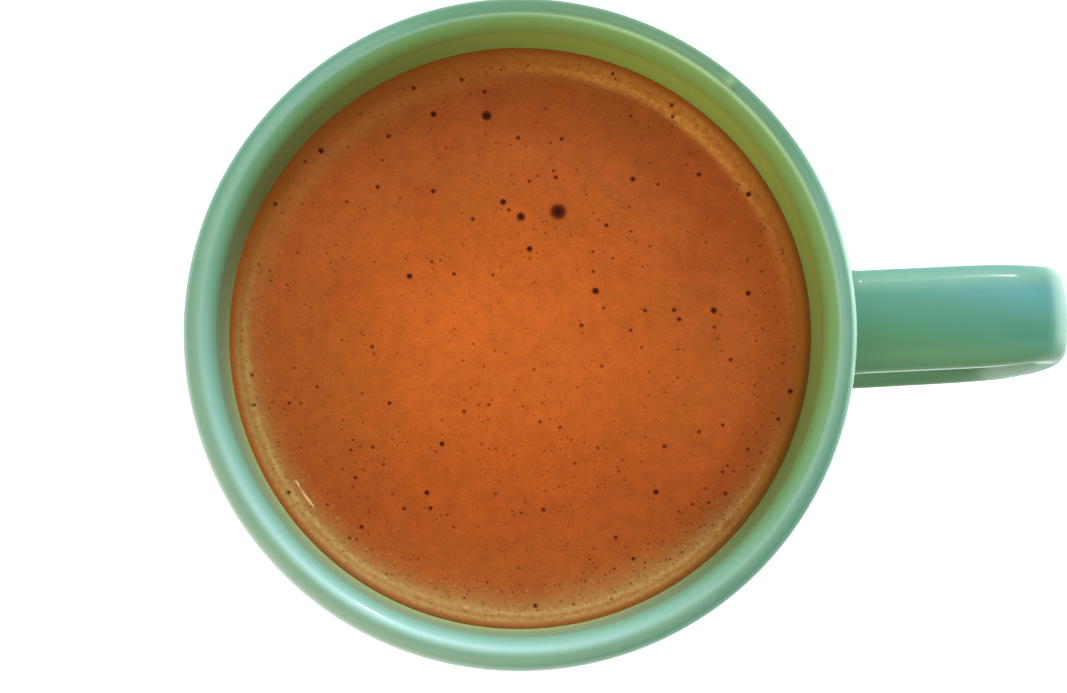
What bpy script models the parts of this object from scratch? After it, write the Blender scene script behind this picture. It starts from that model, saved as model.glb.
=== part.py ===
"""A mug of milky tea: a turned stoneware cup with a strap handle, and the drink that fills it.

Metres, +Z up. The origin is the middle of the cup's flat base, on the cup's axis, and the
handle stands out along +X. Run it with blender --background --python part.py, or from
Blender's text editor.
"""

import math

import bmesh
import bpy
from mathutils import Matrix, Vector

# The cup: a nearly straight wall with a full-round lip, on a flat base.
CUP_HEIGHT = 0.086
RIM_RADIUS = 0.0414
LIP_THICKNESS = 0.0042
OUTER_TAPER = 0.030
INNER_TAPER = 0.026
FLOOR_THICKNESS = 0.0056
BASE_CORNER_RADIUS = 0.0075
INNER_CORNER_RADIUS = 0.0100

# The handle: a strap with crowned faces, bent to a squared ear. Depths are measured down
# from the rim. STRAP_CROWN is the share of its thickness that it loses at its edges.
STRAP_WIDTH = 0.0132
STRAP_THICKNESS = 0.0062
STRAP_EDGE_RADIUS = 0.0017
STRAP_CROWN = 0.33
BEND_NARROWING = 0.0010
BEND_SPREAD = 0.0055
LOW_WIDENING = 0.0010
WIDENING_DROP = 0.0160
HANDLE_REACH = 0.0720
HANDLE_TOP_DEPTH = 0.0110
TOP_BEND_RADIUS = 0.0052
LOW_BEND_RADIUS = 0.0100
LOW_CORNER_DEPTH = 0.0540
LOW_ARM_SLOPE = math.radians(12)
ROOT_EMBED = 0.0017
FLARE_THICKNESS = 0.0032
FLARE_WIDTH = 0.0022
FLARE_LENGTH = 0.0022
FLARE_STATIONS = (0.0, 0.0008, 0.0018, 0.0032, 0.0055)

# The drink: full to a little under the rim, and drawn up the wall by surface tension.
DRINK_DEPTH = 0.0120
MENISCUS_RISE = 0.0017
MENISCUS_LENGTH = 0.0019
MENISCUS_STATIONS = (0.0, 0.0005, 0.0011, 0.0020, 0.0033, 0.0055)
GAP = 0.0003

# The largest open bubbles in the froth: x, y and radius, in millimetres.
BUBBLES_MM = (
    (5.6, 15.8, 0.97),
    (-3.0, 28.7, 0.60),
    (0.8, 15.4, 0.52),
    (-1.4, 17.4, 0.38),
    (24.9, 2.2, 0.40),
    (9.9, 5.4, 0.43),
    (-9.8, 29.2, 0.36),
    (-13.8, 8.4, 0.36),
    (1.7, 11.2, 0.36),
    (-24.4, 25.0, 0.35),
    (30.1, 16.9, 0.32),
    (16.3, -20.6, 0.34),
    (-10.6, -13.2, 0.31),
    (29.4, 4.2, 0.33),
)
BUBBLE_DEPTH_SHARE = 0.45
MM = 0.001

TURN_STEPS = 72
LIP_SEGMENTS = 5
BASE_SEGMENTS = 6
INNER_SEGMENTS = 6
BEND_SEGMENTS = 8
EDGE_SEGMENTS = 4
FACE_SEGMENTS = 4
MERGE_DISTANCE = 0.00001
SHARP_ANGLE = math.radians(35)

GLAZE_COLOUR = (0.17, 0.40, 0.29, 1.0)
GLAZE_ROUGHNESS = 0.10
DRINK_COLOUR = (0.40, 0.11, 0.025, 1.0)
DRINK_ROUGHNESS = 0.30


def clear_scene():
    """Removes every object from the scene."""
    for old in list(bpy.data.objects):
        bpy.data.objects.remove(old, do_unlink=True)


def new_material(name, colour, roughness):
    """Makes a Principled BSDF material of one colour."""
    material = bpy.data.materials.new(name)
    material.use_nodes = True
    shader = material.node_tree.nodes["Principled BSDF"]
    shader.inputs["Base Color"].default_value = colour
    shader.inputs["Roughness"].default_value = roughness
    shader.inputs["Metallic"].default_value = 0.0
    return material


def new_object(name, bm):
    """Turns a bmesh into an object of the scene."""
    mesh = bpy.data.meshes.new(name)
    bm.to_mesh(mesh)
    bm.free()
    obj = bpy.data.objects.new(name, mesh)
    bpy.context.scene.collection.objects.link(obj)
    return obj


def outer_radius(z):
    """Radius of the cup's outer wall at a height."""
    return RIM_RADIUS - OUTER_TAPER * (CUP_HEIGHT - z)


def inner_radius(z):
    """Radius of the cup's inner wall at a height."""
    return RIM_RADIUS - LIP_THICKNESS - INNER_TAPER * (CUP_HEIGHT - z)


def rounded_outline(corners):
    """Replaces each corner of a line of points by an arc that is tangent to its two sides.

    Each corner is (x, z, radius, segments). A radius of 0 keeps the point as it is.
    """
    points = []
    for index, (x, z, radius, segments) in enumerate(corners):
        here = Vector((x, z))
        if radius == 0.0:
            points.append(here)
            continue
        back = (Vector(corners[index - 1][:2]) - here).normalized()
        ahead = (Vector(corners[index + 1][:2]) - here).normalized()
        half_angle = back.angle(ahead) / 2
        centre = here + (back + ahead).normalized() * (radius / math.sin(half_angle))
        start = here + back * (radius / math.tan(half_angle)) - centre
        turn = math.pi - 2 * half_angle
        if start.x * back.y - start.y * back.x > 0:
            turn = -turn
        for step in range(segments + 1):
            angle = turn * step / segments
            spoke = Vector(
                (
                    start.x * math.cos(angle) - start.y * math.sin(angle),
                    start.x * math.sin(angle) + start.y * math.cos(angle),
                )
            )
            points.append(centre + spoke)
    return points


def turned_object(name, outline):
    """Turns an outline round the Z axis with a Screw modifier."""
    bm = bmesh.new()
    verts = [bm.verts.new((x, 0.0, z)) for x, z in outline]
    for start, end in zip(verts, verts[1:]):
        bm.edges.new((start, end))
    obj = new_object(name, bm)
    screw = obj.modifiers.new("turn", "SCREW")
    screw.axis = "Z"
    screw.angle = 2 * math.pi
    screw.steps = TURN_STEPS
    screw.render_steps = TURN_STEPS
    screw.use_merge_vertices = True
    screw.merge_threshold = MERGE_DISTANCE
    screw.use_smooth_shade = True
    return obj


def cup_outline():
    """The cup's half section, from the middle of its floor over the lip to the middle of its base."""
    lip_radius = LIP_THICKNESS / 2 - MERGE_DISTANCE
    return rounded_outline(
        [
            (0.0, FLOOR_THICKNESS, 0.0, 0),
            (inner_radius(FLOOR_THICKNESS), FLOOR_THICKNESS, INNER_CORNER_RADIUS, INNER_SEGMENTS),
            (inner_radius(CUP_HEIGHT), CUP_HEIGHT, lip_radius, LIP_SEGMENTS),
            (outer_radius(CUP_HEIGHT), CUP_HEIGHT, lip_radius, LIP_SEGMENTS),
            (outer_radius(0.0), 0.0, BASE_CORNER_RADIUS, BASE_SEGMENTS),
            (0.0, 0.0, 0.0, 0),
        ]
    )


def handle_path():
    """The middle line of the strap: (x, z, distance from the nearest root) for each section."""
    half = STRAP_THICKNESS / 2
    top = CUP_HEIGHT - HANDLE_TOP_DEPTH - half
    reach = HANDLE_REACH - half
    low = CUP_HEIGHT - LOW_CORNER_DEPTH
    top_root = outer_radius(top)
    low_root = outer_radius(low)
    low_root_z = low - math.tan(LOW_ARM_SLOPE) * (reach - low_root)
    away = Vector((math.cos(LOW_ARM_SLOPE), math.sin(LOW_ARM_SLOPE)))
    bends = rounded_outline(
        [
            (top_root, top, 0.0, 0),
            (reach, top, TOP_BEND_RADIUS, BEND_SEGMENTS),
            (reach, low, LOW_BEND_RADIUS, BEND_SEGMENTS),
            (low_root, low_root_z, 0.0, 0),
        ]
    )[1:-1]
    sections = [(top_root - ROOT_EMBED, top, 0.0)]
    sections += [(top_root + station, top, station) for station in FLARE_STATIONS]
    sections += [(point.x, point.y, 1.0) for point in bends]
    for station in reversed(FLARE_STATIONS):
        point = Vector((low_root, low_root_z)) + away * station
        sections.append((point.x, point.y, station))
    inside = Vector((low_root, low_root_z)) - away * ROOT_EMBED
    sections.append((inside.x, inside.y, 0.0))
    return sections


def strap_width(x, z):
    """The strap's width at a point of its middle line.

    It is narrowest at the top bend, and widens over the first stretch below the upper arm.
    """
    half = STRAP_THICKNESS / 2
    top = CUP_HEIGHT - HANDLE_TOP_DEPTH - half
    away = math.hypot(x - HANDLE_REACH + half, z - top)
    drop = min(max((top - z) / WIDENING_DROP, 0.0), 1.0)
    return STRAP_WIDTH + LOW_WIDENING * drop - BEND_NARROWING * math.exp(-((away / BEND_SPREAD) ** 2))


def strap_section(width, thickness):
    """A rounded rectangle with crowned faces, as points (across, out) from the strap's middle line."""
    ring = []
    corner = Vector((width / 2 - STRAP_EDGE_RADIUS, thickness / 2 - STRAP_EDGE_RADIUS))
    for quarter in range(4):
        side = 1 if quarter in (0, 3) else -1
        face = 1 if quarter in (0, 1) else -1
        for step in range(EDGE_SEGMENTS + 1):
            angle = math.pi / 2 * (quarter + step / EDGE_SEGMENTS)
            across = side * corner.x + STRAP_EDGE_RADIUS * math.cos(angle)
            out = face * corner.y + STRAP_EDGE_RADIUS * math.sin(angle)
            ring.append((across, out))
        if quarter in (0, 2):
            for step in range(1, FACE_SEGMENTS):
                ring.append((side * corner.x * (1 - 2 * step / FACE_SEGMENTS), face * thickness / 2))
    return [(across, out * (1 - STRAP_CROWN * (2 * across / width) ** 2)) for across, out in ring]


def handle_object(name):
    """Sweeps the strap's section along its path. It thickens into a fillet at both roots."""
    path = handle_path()
    bm = bmesh.new()
    rings = []
    for index, (x, z, distance) in enumerate(path):
        before = path[max(index - 1, 0)]
        after = path[min(index + 1, len(path) - 1)]
        along = Vector((after[0] - before[0], after[1] - before[1])).normalized()
        flare = math.exp(-distance / FLARE_LENGTH)
        section = strap_section(
            strap_width(x, z) + FLARE_WIDTH * flare, STRAP_THICKNESS + FLARE_THICKNESS * flare
        )
        ring = []
        for across, out in section:
            ring.append(bm.verts.new((x - along.y * out, across, z + along.x * out)))
        rings.append(ring)
    for ring, following in zip(rings, rings[1:]):
        for index, vert in enumerate(ring):
            neighbour = (index + 1) % len(ring)
            bm.faces.new((vert, ring[neighbour], following[neighbour], following[index]))
    bm.faces.new(reversed(rings[0]))
    bm.faces.new(rings[-1])
    bmesh.ops.recalc_face_normals(bm, faces=bm.faces)
    return new_object(name, bm)


def drink_outline():
    """The drink's half section, from the middle of its surface over the meniscus to its underside."""
    level = CUP_HEIGHT - DRINK_DEPTH
    outline = [Vector((0.0, level))]
    for station in reversed(MENISCUS_STATIONS):
        height = level + MENISCUS_RISE * math.exp(-station / MENISCUS_LENGTH)
        outline.append(Vector((inner_radius(level) - GAP - station, height)))
    underside = FLOOR_THICKNESS + GAP
    outline += rounded_outline(
        [
            (inner_radius(level) - GAP, level, 0.0, 0),
            (
                inner_radius(underside) - GAP,
                underside,
                INNER_CORNER_RADIUS - GAP,
                INNER_SEGMENTS,
            ),
            (0.0, underside, 0.0, 0),
        ]
    )[1:]
    return outline


def bubbles_object(name):
    """Spheres that dip into the drink's surface, one for each of the largest open bubbles."""
    level = CUP_HEIGHT - DRINK_DEPTH
    bm = bmesh.new()
    for x, y, radius in BUBBLES_MM:
        opening = radius * MM
        depth = opening * BUBBLE_DEPTH_SHARE
        sphere = (opening**2 + depth**2) / (2 * depth)
        place = Matrix.Translation((x * MM, y * MM, level + sphere - depth))
        bmesh.ops.create_icosphere(bm, subdivisions=2, radius=sphere, matrix=place)
    return new_object(name, bm)


def combine(target, helper, operation):
    """Joins or cuts target with a helper, which isn't a part of the object itself."""
    helper.hide_render = True
    helper.display_type = "WIRE"
    boolean = target.modifiers.new(helper.name, "BOOLEAN")
    boolean.object = helper
    boolean.operation = operation
    boolean.solver = "EXACT"


def finish(obj, material):
    """Gives an object its material and smooth shading."""
    obj.data.materials.append(material)
    obj.data.shade_smooth()
    obj.data.set_sharp_from_angle(angle=SHARP_ANGLE)


def build_mug():
    """The cup and its handle, one fired piece."""
    mug = turned_object("mug", cup_outline())
    handle = handle_object("handle_strap")
    combine(mug, handle, "UNION")
    glaze = new_material("celadon_glaze", GLAZE_COLOUR, GLAZE_ROUGHNESS)
    finish(mug, glaze)


def build_drink():
    """The tea that fills the cup, with its open bubbles."""
    drink = turned_object("chai", drink_outline())
    bubbles = bubbles_object("open_bubbles")
    combine(drink, bubbles, "DIFFERENCE")
    tea = new_material("milky_tea", DRINK_COLOUR, DRINK_ROUGHNESS)
    finish(drink, tea)


def main():
    """Builds the whole object."""
    clear_scene()
    build_mug()
    build_drink()


main()
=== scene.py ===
"""The looks of a mug of milky tea: a glazed stoneware cup with a strap handle, and frothy chai.

Everything is in metres, +Z up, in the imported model's frame. The origin is the middle of the
cup's base and the handle stands out along +X. Shapes are worked out with numpy: a profile
turned round the cup's axis, a strap section carried along a path, fillets between the two,
and a liquid surface whose height is a function of x and y.
"""

import logging
import math
from dataclasses import dataclass, field
from enum import Enum
from typing import Callable, Optional, Sequence

import bpy
import numpy as np
from mathutils import Matrix
from mathutils.geometry import delaunay_2d_cdt


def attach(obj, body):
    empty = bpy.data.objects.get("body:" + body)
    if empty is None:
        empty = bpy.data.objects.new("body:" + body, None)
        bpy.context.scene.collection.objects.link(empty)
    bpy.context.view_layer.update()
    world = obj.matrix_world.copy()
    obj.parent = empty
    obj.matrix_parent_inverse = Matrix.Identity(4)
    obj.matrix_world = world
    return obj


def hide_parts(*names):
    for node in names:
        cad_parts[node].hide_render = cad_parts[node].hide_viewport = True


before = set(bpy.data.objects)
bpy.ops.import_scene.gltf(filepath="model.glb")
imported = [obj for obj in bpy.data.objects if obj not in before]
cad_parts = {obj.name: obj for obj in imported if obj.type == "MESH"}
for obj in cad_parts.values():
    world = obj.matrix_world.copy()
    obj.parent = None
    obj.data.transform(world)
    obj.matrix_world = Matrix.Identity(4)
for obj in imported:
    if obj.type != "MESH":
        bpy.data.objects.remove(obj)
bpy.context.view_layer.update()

log = logging.getLogger("mug_of_tea")

MM = 0.001
FULL_TURN = 2 * math.pi
RGB = tuple[float, float, float]
POINTS_AT_ONCE = 4000


class Slot(Enum):
    """The record's material slots."""

    GLAZE = "celadon_glaze"
    TEA = "milky_tea"


class Node(Enum):
    """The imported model's nodes that the pieces here replace."""

    MUG = "mug"
    CHAI = "chai"


# ---------------- shapes as arrays


@dataclass
class Surface:
    """Points and faces of a piece while it is put together.

    Attributes:
        points: One (n, 3) array for each patch of surface.
        quads: One (m, 4) array of point numbers for each patch.
        triangles: One (m, 3) array of point numbers for each patch.
        values: For each patch, the named (n,) values that a finish reads. A value that a
            patch doesn't name is 0 there.
    """

    points: list[np.ndarray] = field(default_factory=list)
    quads: list[np.ndarray] = field(default_factory=list)
    triangles: list[np.ndarray] = field(default_factory=list)
    values: list[dict[str, np.ndarray]] = field(default_factory=list)

    def count(self) -> int:
        """Number of points so far."""
        return sum(len(patch) for patch in self.points)

    def add_points(self, points: np.ndarray, **values: np.ndarray) -> int:
        """Adds a patch's points and the values they carry.

        Args:
            points: The (n, 3) places.
            values: Named (n,) arrays, or one number for all the points.

        Returns:
            The number of the patch's first point.
        """
        first = self.count()
        self.points.append(points)
        self.values.append({
            name: np.broadcast_to(np.ravel(value), len(points)) for name, value in values.items()
        })
        return first

    def add_grid(self, points: np.ndarray, **values: np.ndarray) -> np.ndarray:
        """Adds a grid of points and the values they carry.

        Args:
            points: The (rings, points of a ring, 3) places.
            values: Named arrays of the grid's size, or one number for all the points.

        Returns:
            The points' numbers, as a (rings, points of a ring) array.
        """
        first = self.add_points(points.reshape(-1, 3), **values)
        return first + np.arange(points.shape[0] * points.shape[1]).reshape(points.shape[:2])

    def join_rings(self, number: np.ndarray, kept: Optional[np.ndarray] = None,
                   flipped: bool = False) -> None:
        """Joins each closed ring of points to the next with quads.

        Faces point to the right of a profile that is walked from the middle outwards and up,
        where the rings lie one after another along that profile.

        Args:
            number: The points' numbers, as a (rings, points of a ring) array.
            kept: Which of the (rings - 1, points of a ring) quads to make, or None for all.
            flipped: Whether the faces point the other way.
        """
        following = np.roll(number, -1, axis=1)
        quads = np.stack([number[:-1], number[1:], following[1:], following[:-1]], axis=-1)
        if flipped:
            quads = quads[..., [0, 3, 2, 1]]
        self.quads.append(quads.reshape(-1, 4) if kept is None else quads[kept])

    def add_fan(self, ring: np.ndarray, middle: tuple[float, float, float],
                facing_down: bool = False, **values: float) -> None:
        """Closes a ring with triangles round one more point.

        Args:
            ring: The numbers of the ring's points, anticlockwise seen from above.
            middle: The place of the new point.
            facing_down: Whether the faces point down, and otherwise up.
            values: The new point's named values.
        """
        pole = np.full(len(ring), self.add_points(np.array([middle]), **values))
        following = np.roll(ring, -1)
        edge = (following, ring) if facing_down else (ring, following)
        self.triangles.append(np.stack([pole, *edge], axis=1))

    def make(self, name: str) -> bpy.types.Object:
        """Puts the patches into one smooth mesh, without the points that no face uses.

        Args:
            name: The piece's name.

        Returns:
            The object, at the origin, unturned and unscaled.
        """
        points = np.concatenate(self.points)
        quads = np.concatenate(self.quads) if self.quads else np.zeros((0, 4), int)
        triangles = np.concatenate(self.triangles) if self.triangles else np.zeros((0, 3), int)
        corners = np.concatenate([quads.ravel(), triangles.ravel()])
        used, corners = np.unique(corners, return_inverse=True)
        sizes = np.concatenate([np.full(len(quads), 4), np.full(len(triangles), 3)])
        starts = np.concatenate([[0], np.cumsum(sizes)[:-1]])
        mesh = bpy.data.meshes.new(name)
        mesh.vertices.add(len(used))
        mesh.vertices.foreach_set("co", points[used].astype(np.float32).ravel())
        mesh.loops.add(len(corners))
        mesh.loops.foreach_set("vertex_index", corners.ravel().astype(np.int32))
        mesh.polygons.add(len(sizes))
        mesh.polygons.foreach_set("loop_start", starts.astype(np.int32))
        mesh.update(calc_edges=True)
        mesh.validate()
        for key in sorted({key for patch in self.values for key in patch}):
            parts = [
                patch.get(key, np.zeros(len(places)))
                for patch, places in zip(self.values, self.points)
            ]
            values = np.concatenate(parts)[used].astype(np.float32)
            mesh.attributes.new(key, "FLOAT", "POINT").data.foreach_set("value", values)
        mesh.shade_smooth()
        obj = bpy.data.objects.new(name, mesh)
        bpy.context.scene.collection.objects.link(obj)
        return obj


@dataclass(frozen=True)
class Corner:
    """A corner of an outline, and the arc that rounds it. A radius of 0 keeps it sharp."""

    x: float
    z: float
    radius: float = 0.0
    steps: int = 0


def rounded(corners: Sequence[Corner]) -> np.ndarray:
    """Rounds an outline's corners with arcs tangent to both sides.

    The arc's centre lies on the corner's bisector, radius / sin(half angle) away, and its
    ends lie radius / tan(half angle) from the corner.

    Args:
        corners: The outline's corners in order.

    Returns:
        The (n, 2) points (x, z).
    """
    places = np.array([(corner.x, corner.z) for corner in corners])
    parts = []
    for index, corner in enumerate(corners):
        here = places[index]
        if corner.radius == 0.0:
            parts.append(here[None])
            continue
        back = places[index - 1] - here
        ahead = places[index + 1] - here
        back /= np.hypot(*back)
        ahead /= np.hypot(*ahead)
        half_angle = math.acos(float(back @ ahead)) / 2
        bisector = (back + ahead) / np.hypot(*(back + ahead))
        centre = here + bisector * corner.radius / math.sin(half_angle)
        spoke = here + back * corner.radius / math.tan(half_angle) - centre
        side = -math.copysign(1.0, spoke[0] * back[1] - spoke[1] * back[0])
        angles = np.linspace(0.0, side * (math.pi - 2 * half_angle), corner.steps + 1)
        cos, sin = np.cos(angles), np.sin(angles)
        arc = np.stack([spoke[0] * cos - spoke[1] * sin, spoke[0] * sin + spoke[1] * cos], 1)
        parts.append(centre + arc)
    return np.concatenate(parts)


def subdivided(outline: np.ndarray, spacing: Callable[[np.ndarray], float]) -> np.ndarray:
    """Splits an outline's straight stretches into equal short ones.

    Args:
        outline: The (n, 2) points.
        spacing: Gives the longest step allowed at the middle of a stretch.

    Returns:
        The (m, 2) points, the given ones among them.
    """
    parts = []
    for start, end in zip(outline, outline[1:]):
        length = float(np.hypot(*(end - start)))
        steps = max(1, math.ceil(length / spacing((start + end) / 2) - 1e-6))
        share = np.arange(steps)[:, None] / steps
        parts.append(start + (end - start) * share)
    parts.append(outline[-1:])
    return np.concatenate(parts)


def smooth_step(value: np.ndarray, low: float, high: float) -> np.ndarray:
    """Rises from 0 at low to 1 at high, flat at both ends: 3 s^2 - 2 s^3."""
    share = np.clip((value - low) / (high - low), 0.0, 1.0)
    return share * share * (3 - 2 * share)


def bell(value: np.ndarray, middle: float, width: float) -> np.ndarray:
    """Is 1 at middle and falls off on both sides: exp(-((value - middle) / width)^2)."""
    return np.exp(-((value - middle) / width) ** 2)


def turned_from(angle: np.ndarray, degrees: float) -> np.ndarray:
    """How far angles round Z are from one in degrees, in radians between -pi and pi."""
    return np.mod(angle - math.radians(degrees) + math.pi, FULL_TURN) - math.pi


@dataclass(frozen=True)
class Sector:
    """A side of the cup, as a bell curve of the angle round Z. Both numbers are in degrees."""

    middle: float
    spread: float

    def share(self, angle: np.ndarray) -> np.ndarray:
        """How far each angle belongs to the sector, from 0 to 1 at its middle."""
        return bell(turned_from(angle, self.middle), 0.0, math.radians(self.spread))

    def draw(self, rng: np.random.Generator, count: int) -> np.ndarray:
        """Draws angles that are normally spread over the sector."""
        return rng.normal(math.radians(self.middle), math.radians(self.spread), count)


def facing(angle: np.ndarray, degrees: float) -> np.ndarray:
    """How far angles face a direction: 1 there, 0 opposite, (1 + cos(turn)) / 2 between."""
    return 0.5 + 0.5 * np.cos(angle - math.radians(degrees))


def even_angles(count: int, turn: float = 0.0) -> np.ndarray:
    """Evenly spaced angles once round Z, the first one turn steps past +X."""
    return FULL_TURN * (np.arange(count) + turn) / count


def on_circles(radius: np.ndarray, angle: np.ndarray) -> np.ndarray:
    """Places (x, y), as an array's last axis, at distances from Z and angles round it."""
    return np.stack([radius * np.cos(angle), radius * np.sin(angle)], axis=-1)


def turned_grid(profile: np.ndarray, columns: int) -> tuple[np.ndarray, np.ndarray, np.ndarray]:
    """A profile turned once round Z.

    Args:
        profile: The (n, 2) points (radius, z).
        columns: The number of points of a ring.

    Returns:
        The radius, angle and z of the grid's points, each an (n, columns) array.
    """
    radius, z = np.repeat(profile.T[..., None], columns, axis=2)
    return radius, np.repeat(even_angles(columns)[None], len(profile), axis=0), z


def turned_places(radius: np.ndarray, angle: np.ndarray, z: np.ndarray) -> np.ndarray:
    """Places (x, y, z), as an array's last axis, from distances from Z, angles and heights."""
    return np.concatenate([on_circles(radius, angle), z[..., None]], axis=-1)


def wave(angle: np.ndarray, turns: Sequence[int], rng: np.random.Generator) -> np.ndarray:
    """A smooth uneven function of an angle, between about -1 and 1: a sum of cosines.

    Args:
        angle: The angles, in radians.
        turns: How often each cosine repeats in a full turn.
        rng: Draws each cosine's shift.

    Returns:
        The sum at each angle, with an even spread whatever the number of cosines.
    """
    total = np.zeros_like(angle)
    for count in turns:
        total += np.cos(count * angle + rng.uniform(0.0, FULL_TURN)) / math.sqrt(len(turns))
    return total


# ---------------- node graphs


class Graph:
    """Adds and joins nodes in a material's or a group's node tree."""

    def __init__(self, tree: bpy.types.NodeTree) -> None:
        """Keeps the tree that the nodes go into."""
        self.tree = tree

    def add(self, kind: str, **settings: object) -> bpy.types.Node:
        """Adds a node and sets its properties.

        Args:
            kind: The node's type, without its ShaderNode prefix.
            settings: Properties of the node by name.

        Returns:
            The node.
        """
        node = self.tree.nodes.new(kind if kind.startswith("Node") else "ShaderNode" + kind)
        for name, value in settings.items():
            setattr(node, name, value)
        return node

    def put(self, socket: bpy.types.NodeSocket, value: object) -> None:
        """Links a socket to another socket, or sets its own value.

        Args:
            socket: The socket.
            value: Another socket, or a number, or a colour as a tuple without alpha.
        """
        if isinstance(value, bpy.types.NodeSocket):
            self.tree.links.new(value, socket)
        else:
            socket.default_value = (*value, 1.0) if isinstance(value, tuple) else value

    def attribute(self, name: str) -> bpy.types.NodeSocket:
        """The value that the mesh's points carry under a name."""
        return self.add("Attribute", attribute_name=name).outputs["Fac"]

    def place(self) -> bpy.types.NodeSocket:
        """Object coordinates, in metres."""
        return self.add("TexCoord").outputs["Object"]

    def round_the_axis(self, place: bpy.types.NodeSocket) -> bpy.types.NodeSocket:
        """A place squashed along circles round Z, so that noise there runs in turning lines.

        It is (distance from Z + x / 40, z + y / 40, 0).

        Args:
            place: Object coordinates.

        Returns:
            The squashed place.
        """
        flat = self.add("VectorMath", operation="MULTIPLY")
        self.put(flat.inputs[0], place)
        flat.inputs[1].default_value = (1.0, 1.0, 0.0)
        length = self.add("VectorMath", operation="LENGTH")
        self.put(length.inputs[0], flat.outputs["Vector"])
        parts = self.add("SeparateXYZ")
        self.put(parts.inputs[0], place)
        wander = [self.math("MULTIPLY", parts.outputs[axis], 0.025) for axis in ("X", "Y")]
        joined = self.add("CombineXYZ")
        self.put(joined.inputs["X"], self.math("ADD", length.outputs["Value"], wander[0]))
        self.put(joined.inputs["Y"], self.math("ADD", parts.outputs["Z"], wander[1]))
        return joined.outputs["Vector"]

    def math(self, operation: str, first: object, second: object = 0.0) -> bpy.types.NodeSocket:
        """The result of a Math node.

        Args:
            operation: What it does, by Blender's name.
            first: A number or a socket.
            second: Another.

        Returns:
            The result.
        """
        node = self.add("Math", operation=operation)
        self.put(node.inputs[0], first)
        self.put(node.inputs[1], second)
        return node.outputs[0]

    def ramp(self, value: object, low: float, high: float, to_low: float = 0.0,
             to_high: float = 1.0) -> bpy.types.NodeSocket:
        """Maps a value's range onto another, smoothly and clamped.

        Args:
            value: The value, or the socket that gives it.
            low: The value that becomes to_low.
            high: The value that becomes to_high.
            to_low: The result at low and below.
            to_high: The result at high and above.

        Returns:
            The result.
        """
        node = self.add("MapRange", interpolation_type="SMOOTHSTEP")
        for socket, given in zip(node.inputs, (value, low, high, to_low, to_high)):
            self.put(socket, given)
        return node.outputs[0]

    def blend(self, share: object, first: object, second: object,
              mode: str = "MIX") -> bpy.types.NodeSocket:
        """Mixes two colours.

        Args:
            share: How much of the second one there is, from 0 to 1.
            first: The colour underneath.
            second: The colour on top.
            mode: How the second one is laid over the first.

        Returns:
            The mixed colour.
        """
        node = self.add("Mix", data_type="RGBA", blend_type=mode)
        self.put(node.inputs["Factor"], share)
        self.put(node.inputs["A"], first)
        self.put(node.inputs["B"], second)
        return node.outputs["Result"]

    def noise(self, place: object, size: float, detail: float = 2.0,
              roughness: float = 0.5) -> bpy.types.NodeSocket:
        """Noise from 0 to 1.

        Args:
            place: Where it is read.
            size: How large its lumps are, in metres.
            detail: How many finer scales it has.
            roughness: How strong they are.

        Returns:
            The noise.
        """
        node = self.add("TexNoise")
        self.put(node.inputs["Vector"], place)
        node.inputs["Scale"].default_value = 1.0 / size
        node.inputs["Detail"].default_value = detail
        node.inputs["Roughness"].default_value = roughness
        return node.outputs["Fac"]

    def group(self, tree: bpy.types.NodeTree, **inputs: object) -> bpy.types.NodeSocket:
        """Places a node group.

        Args:
            tree: The group.
            inputs: A value or a socket for each input.

        Returns:
            The group's first output.
        """
        node = self.add("Group", node_tree=tree)
        for name, value in inputs.items():
            self.put(node.inputs[name], value)
        return node.outputs[0]

    def glow(self, direction: object, towards: tuple[float, float, float],
             sharpness: float) -> bpy.types.NodeSocket:
        """How near a direction is to another one: their cosine, raised to a power, from 0 to 1.

        Args:
            direction: The socket that gives the one direction.
            towards: The other, as a unit vector.
            sharpness: The power.

        Returns:
            The nearness.
        """
        node = self.add("VectorMath", operation="DOT_PRODUCT")
        self.put(node.inputs[0], direction)
        node.inputs[1].default_value = towards
        return self.math("POWER", self.math("MAXIMUM", node.outputs["Value"], 0.0), sharpness)

    def bump(self, height: object, distance: float, after: object = None) -> bpy.types.NodeSocket:
        """Turns a height from 0 to 1 into a normal.

        Args:
            height: The height.
            distance: How deep the relief is, in metres.
            after: The normal that the relief is laid over, or None for the surface's own.

        Returns:
            The normal.
        """
        node = self.add("Bump")
        node.inputs["Distance"].default_value = distance
        node.inputs["Strength"].default_value = 1.0
        self.put(node.inputs["Height"], height)
        if after is not None:
            self.put(node.inputs["Normal"], after)
        return node.outputs["Normal"]


def new_group(name: str, inputs: dict[str, tuple[str, object]],
              output: str) -> tuple[Graph, bpy.types.Node, bpy.types.NodeSocket]:
    """Starts a node group.

    Args:
        name: The group's name.
        inputs: For each input its socket type and default value.
        output: The name of its one value output.

    Returns:
        The graph, the node that gives the inputs, and the socket that takes the output.
    """
    tree = bpy.data.node_groups.new(name, "ShaderNodeTree")
    for key, (kind, default) in inputs.items():
        socket = tree.interface.new_socket(name=key, in_out="INPUT", socket_type=kind)
        if default is not None:
            socket.default_value = default
    tree.interface.new_socket(name=output, in_out="OUTPUT", socket_type="NodeSocketFloat")
    graph = Graph(tree)
    given = graph.add("NodeGroupInput")
    taken = graph.add("NodeGroupOutput")
    return graph, given, taken.inputs[0]


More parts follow.
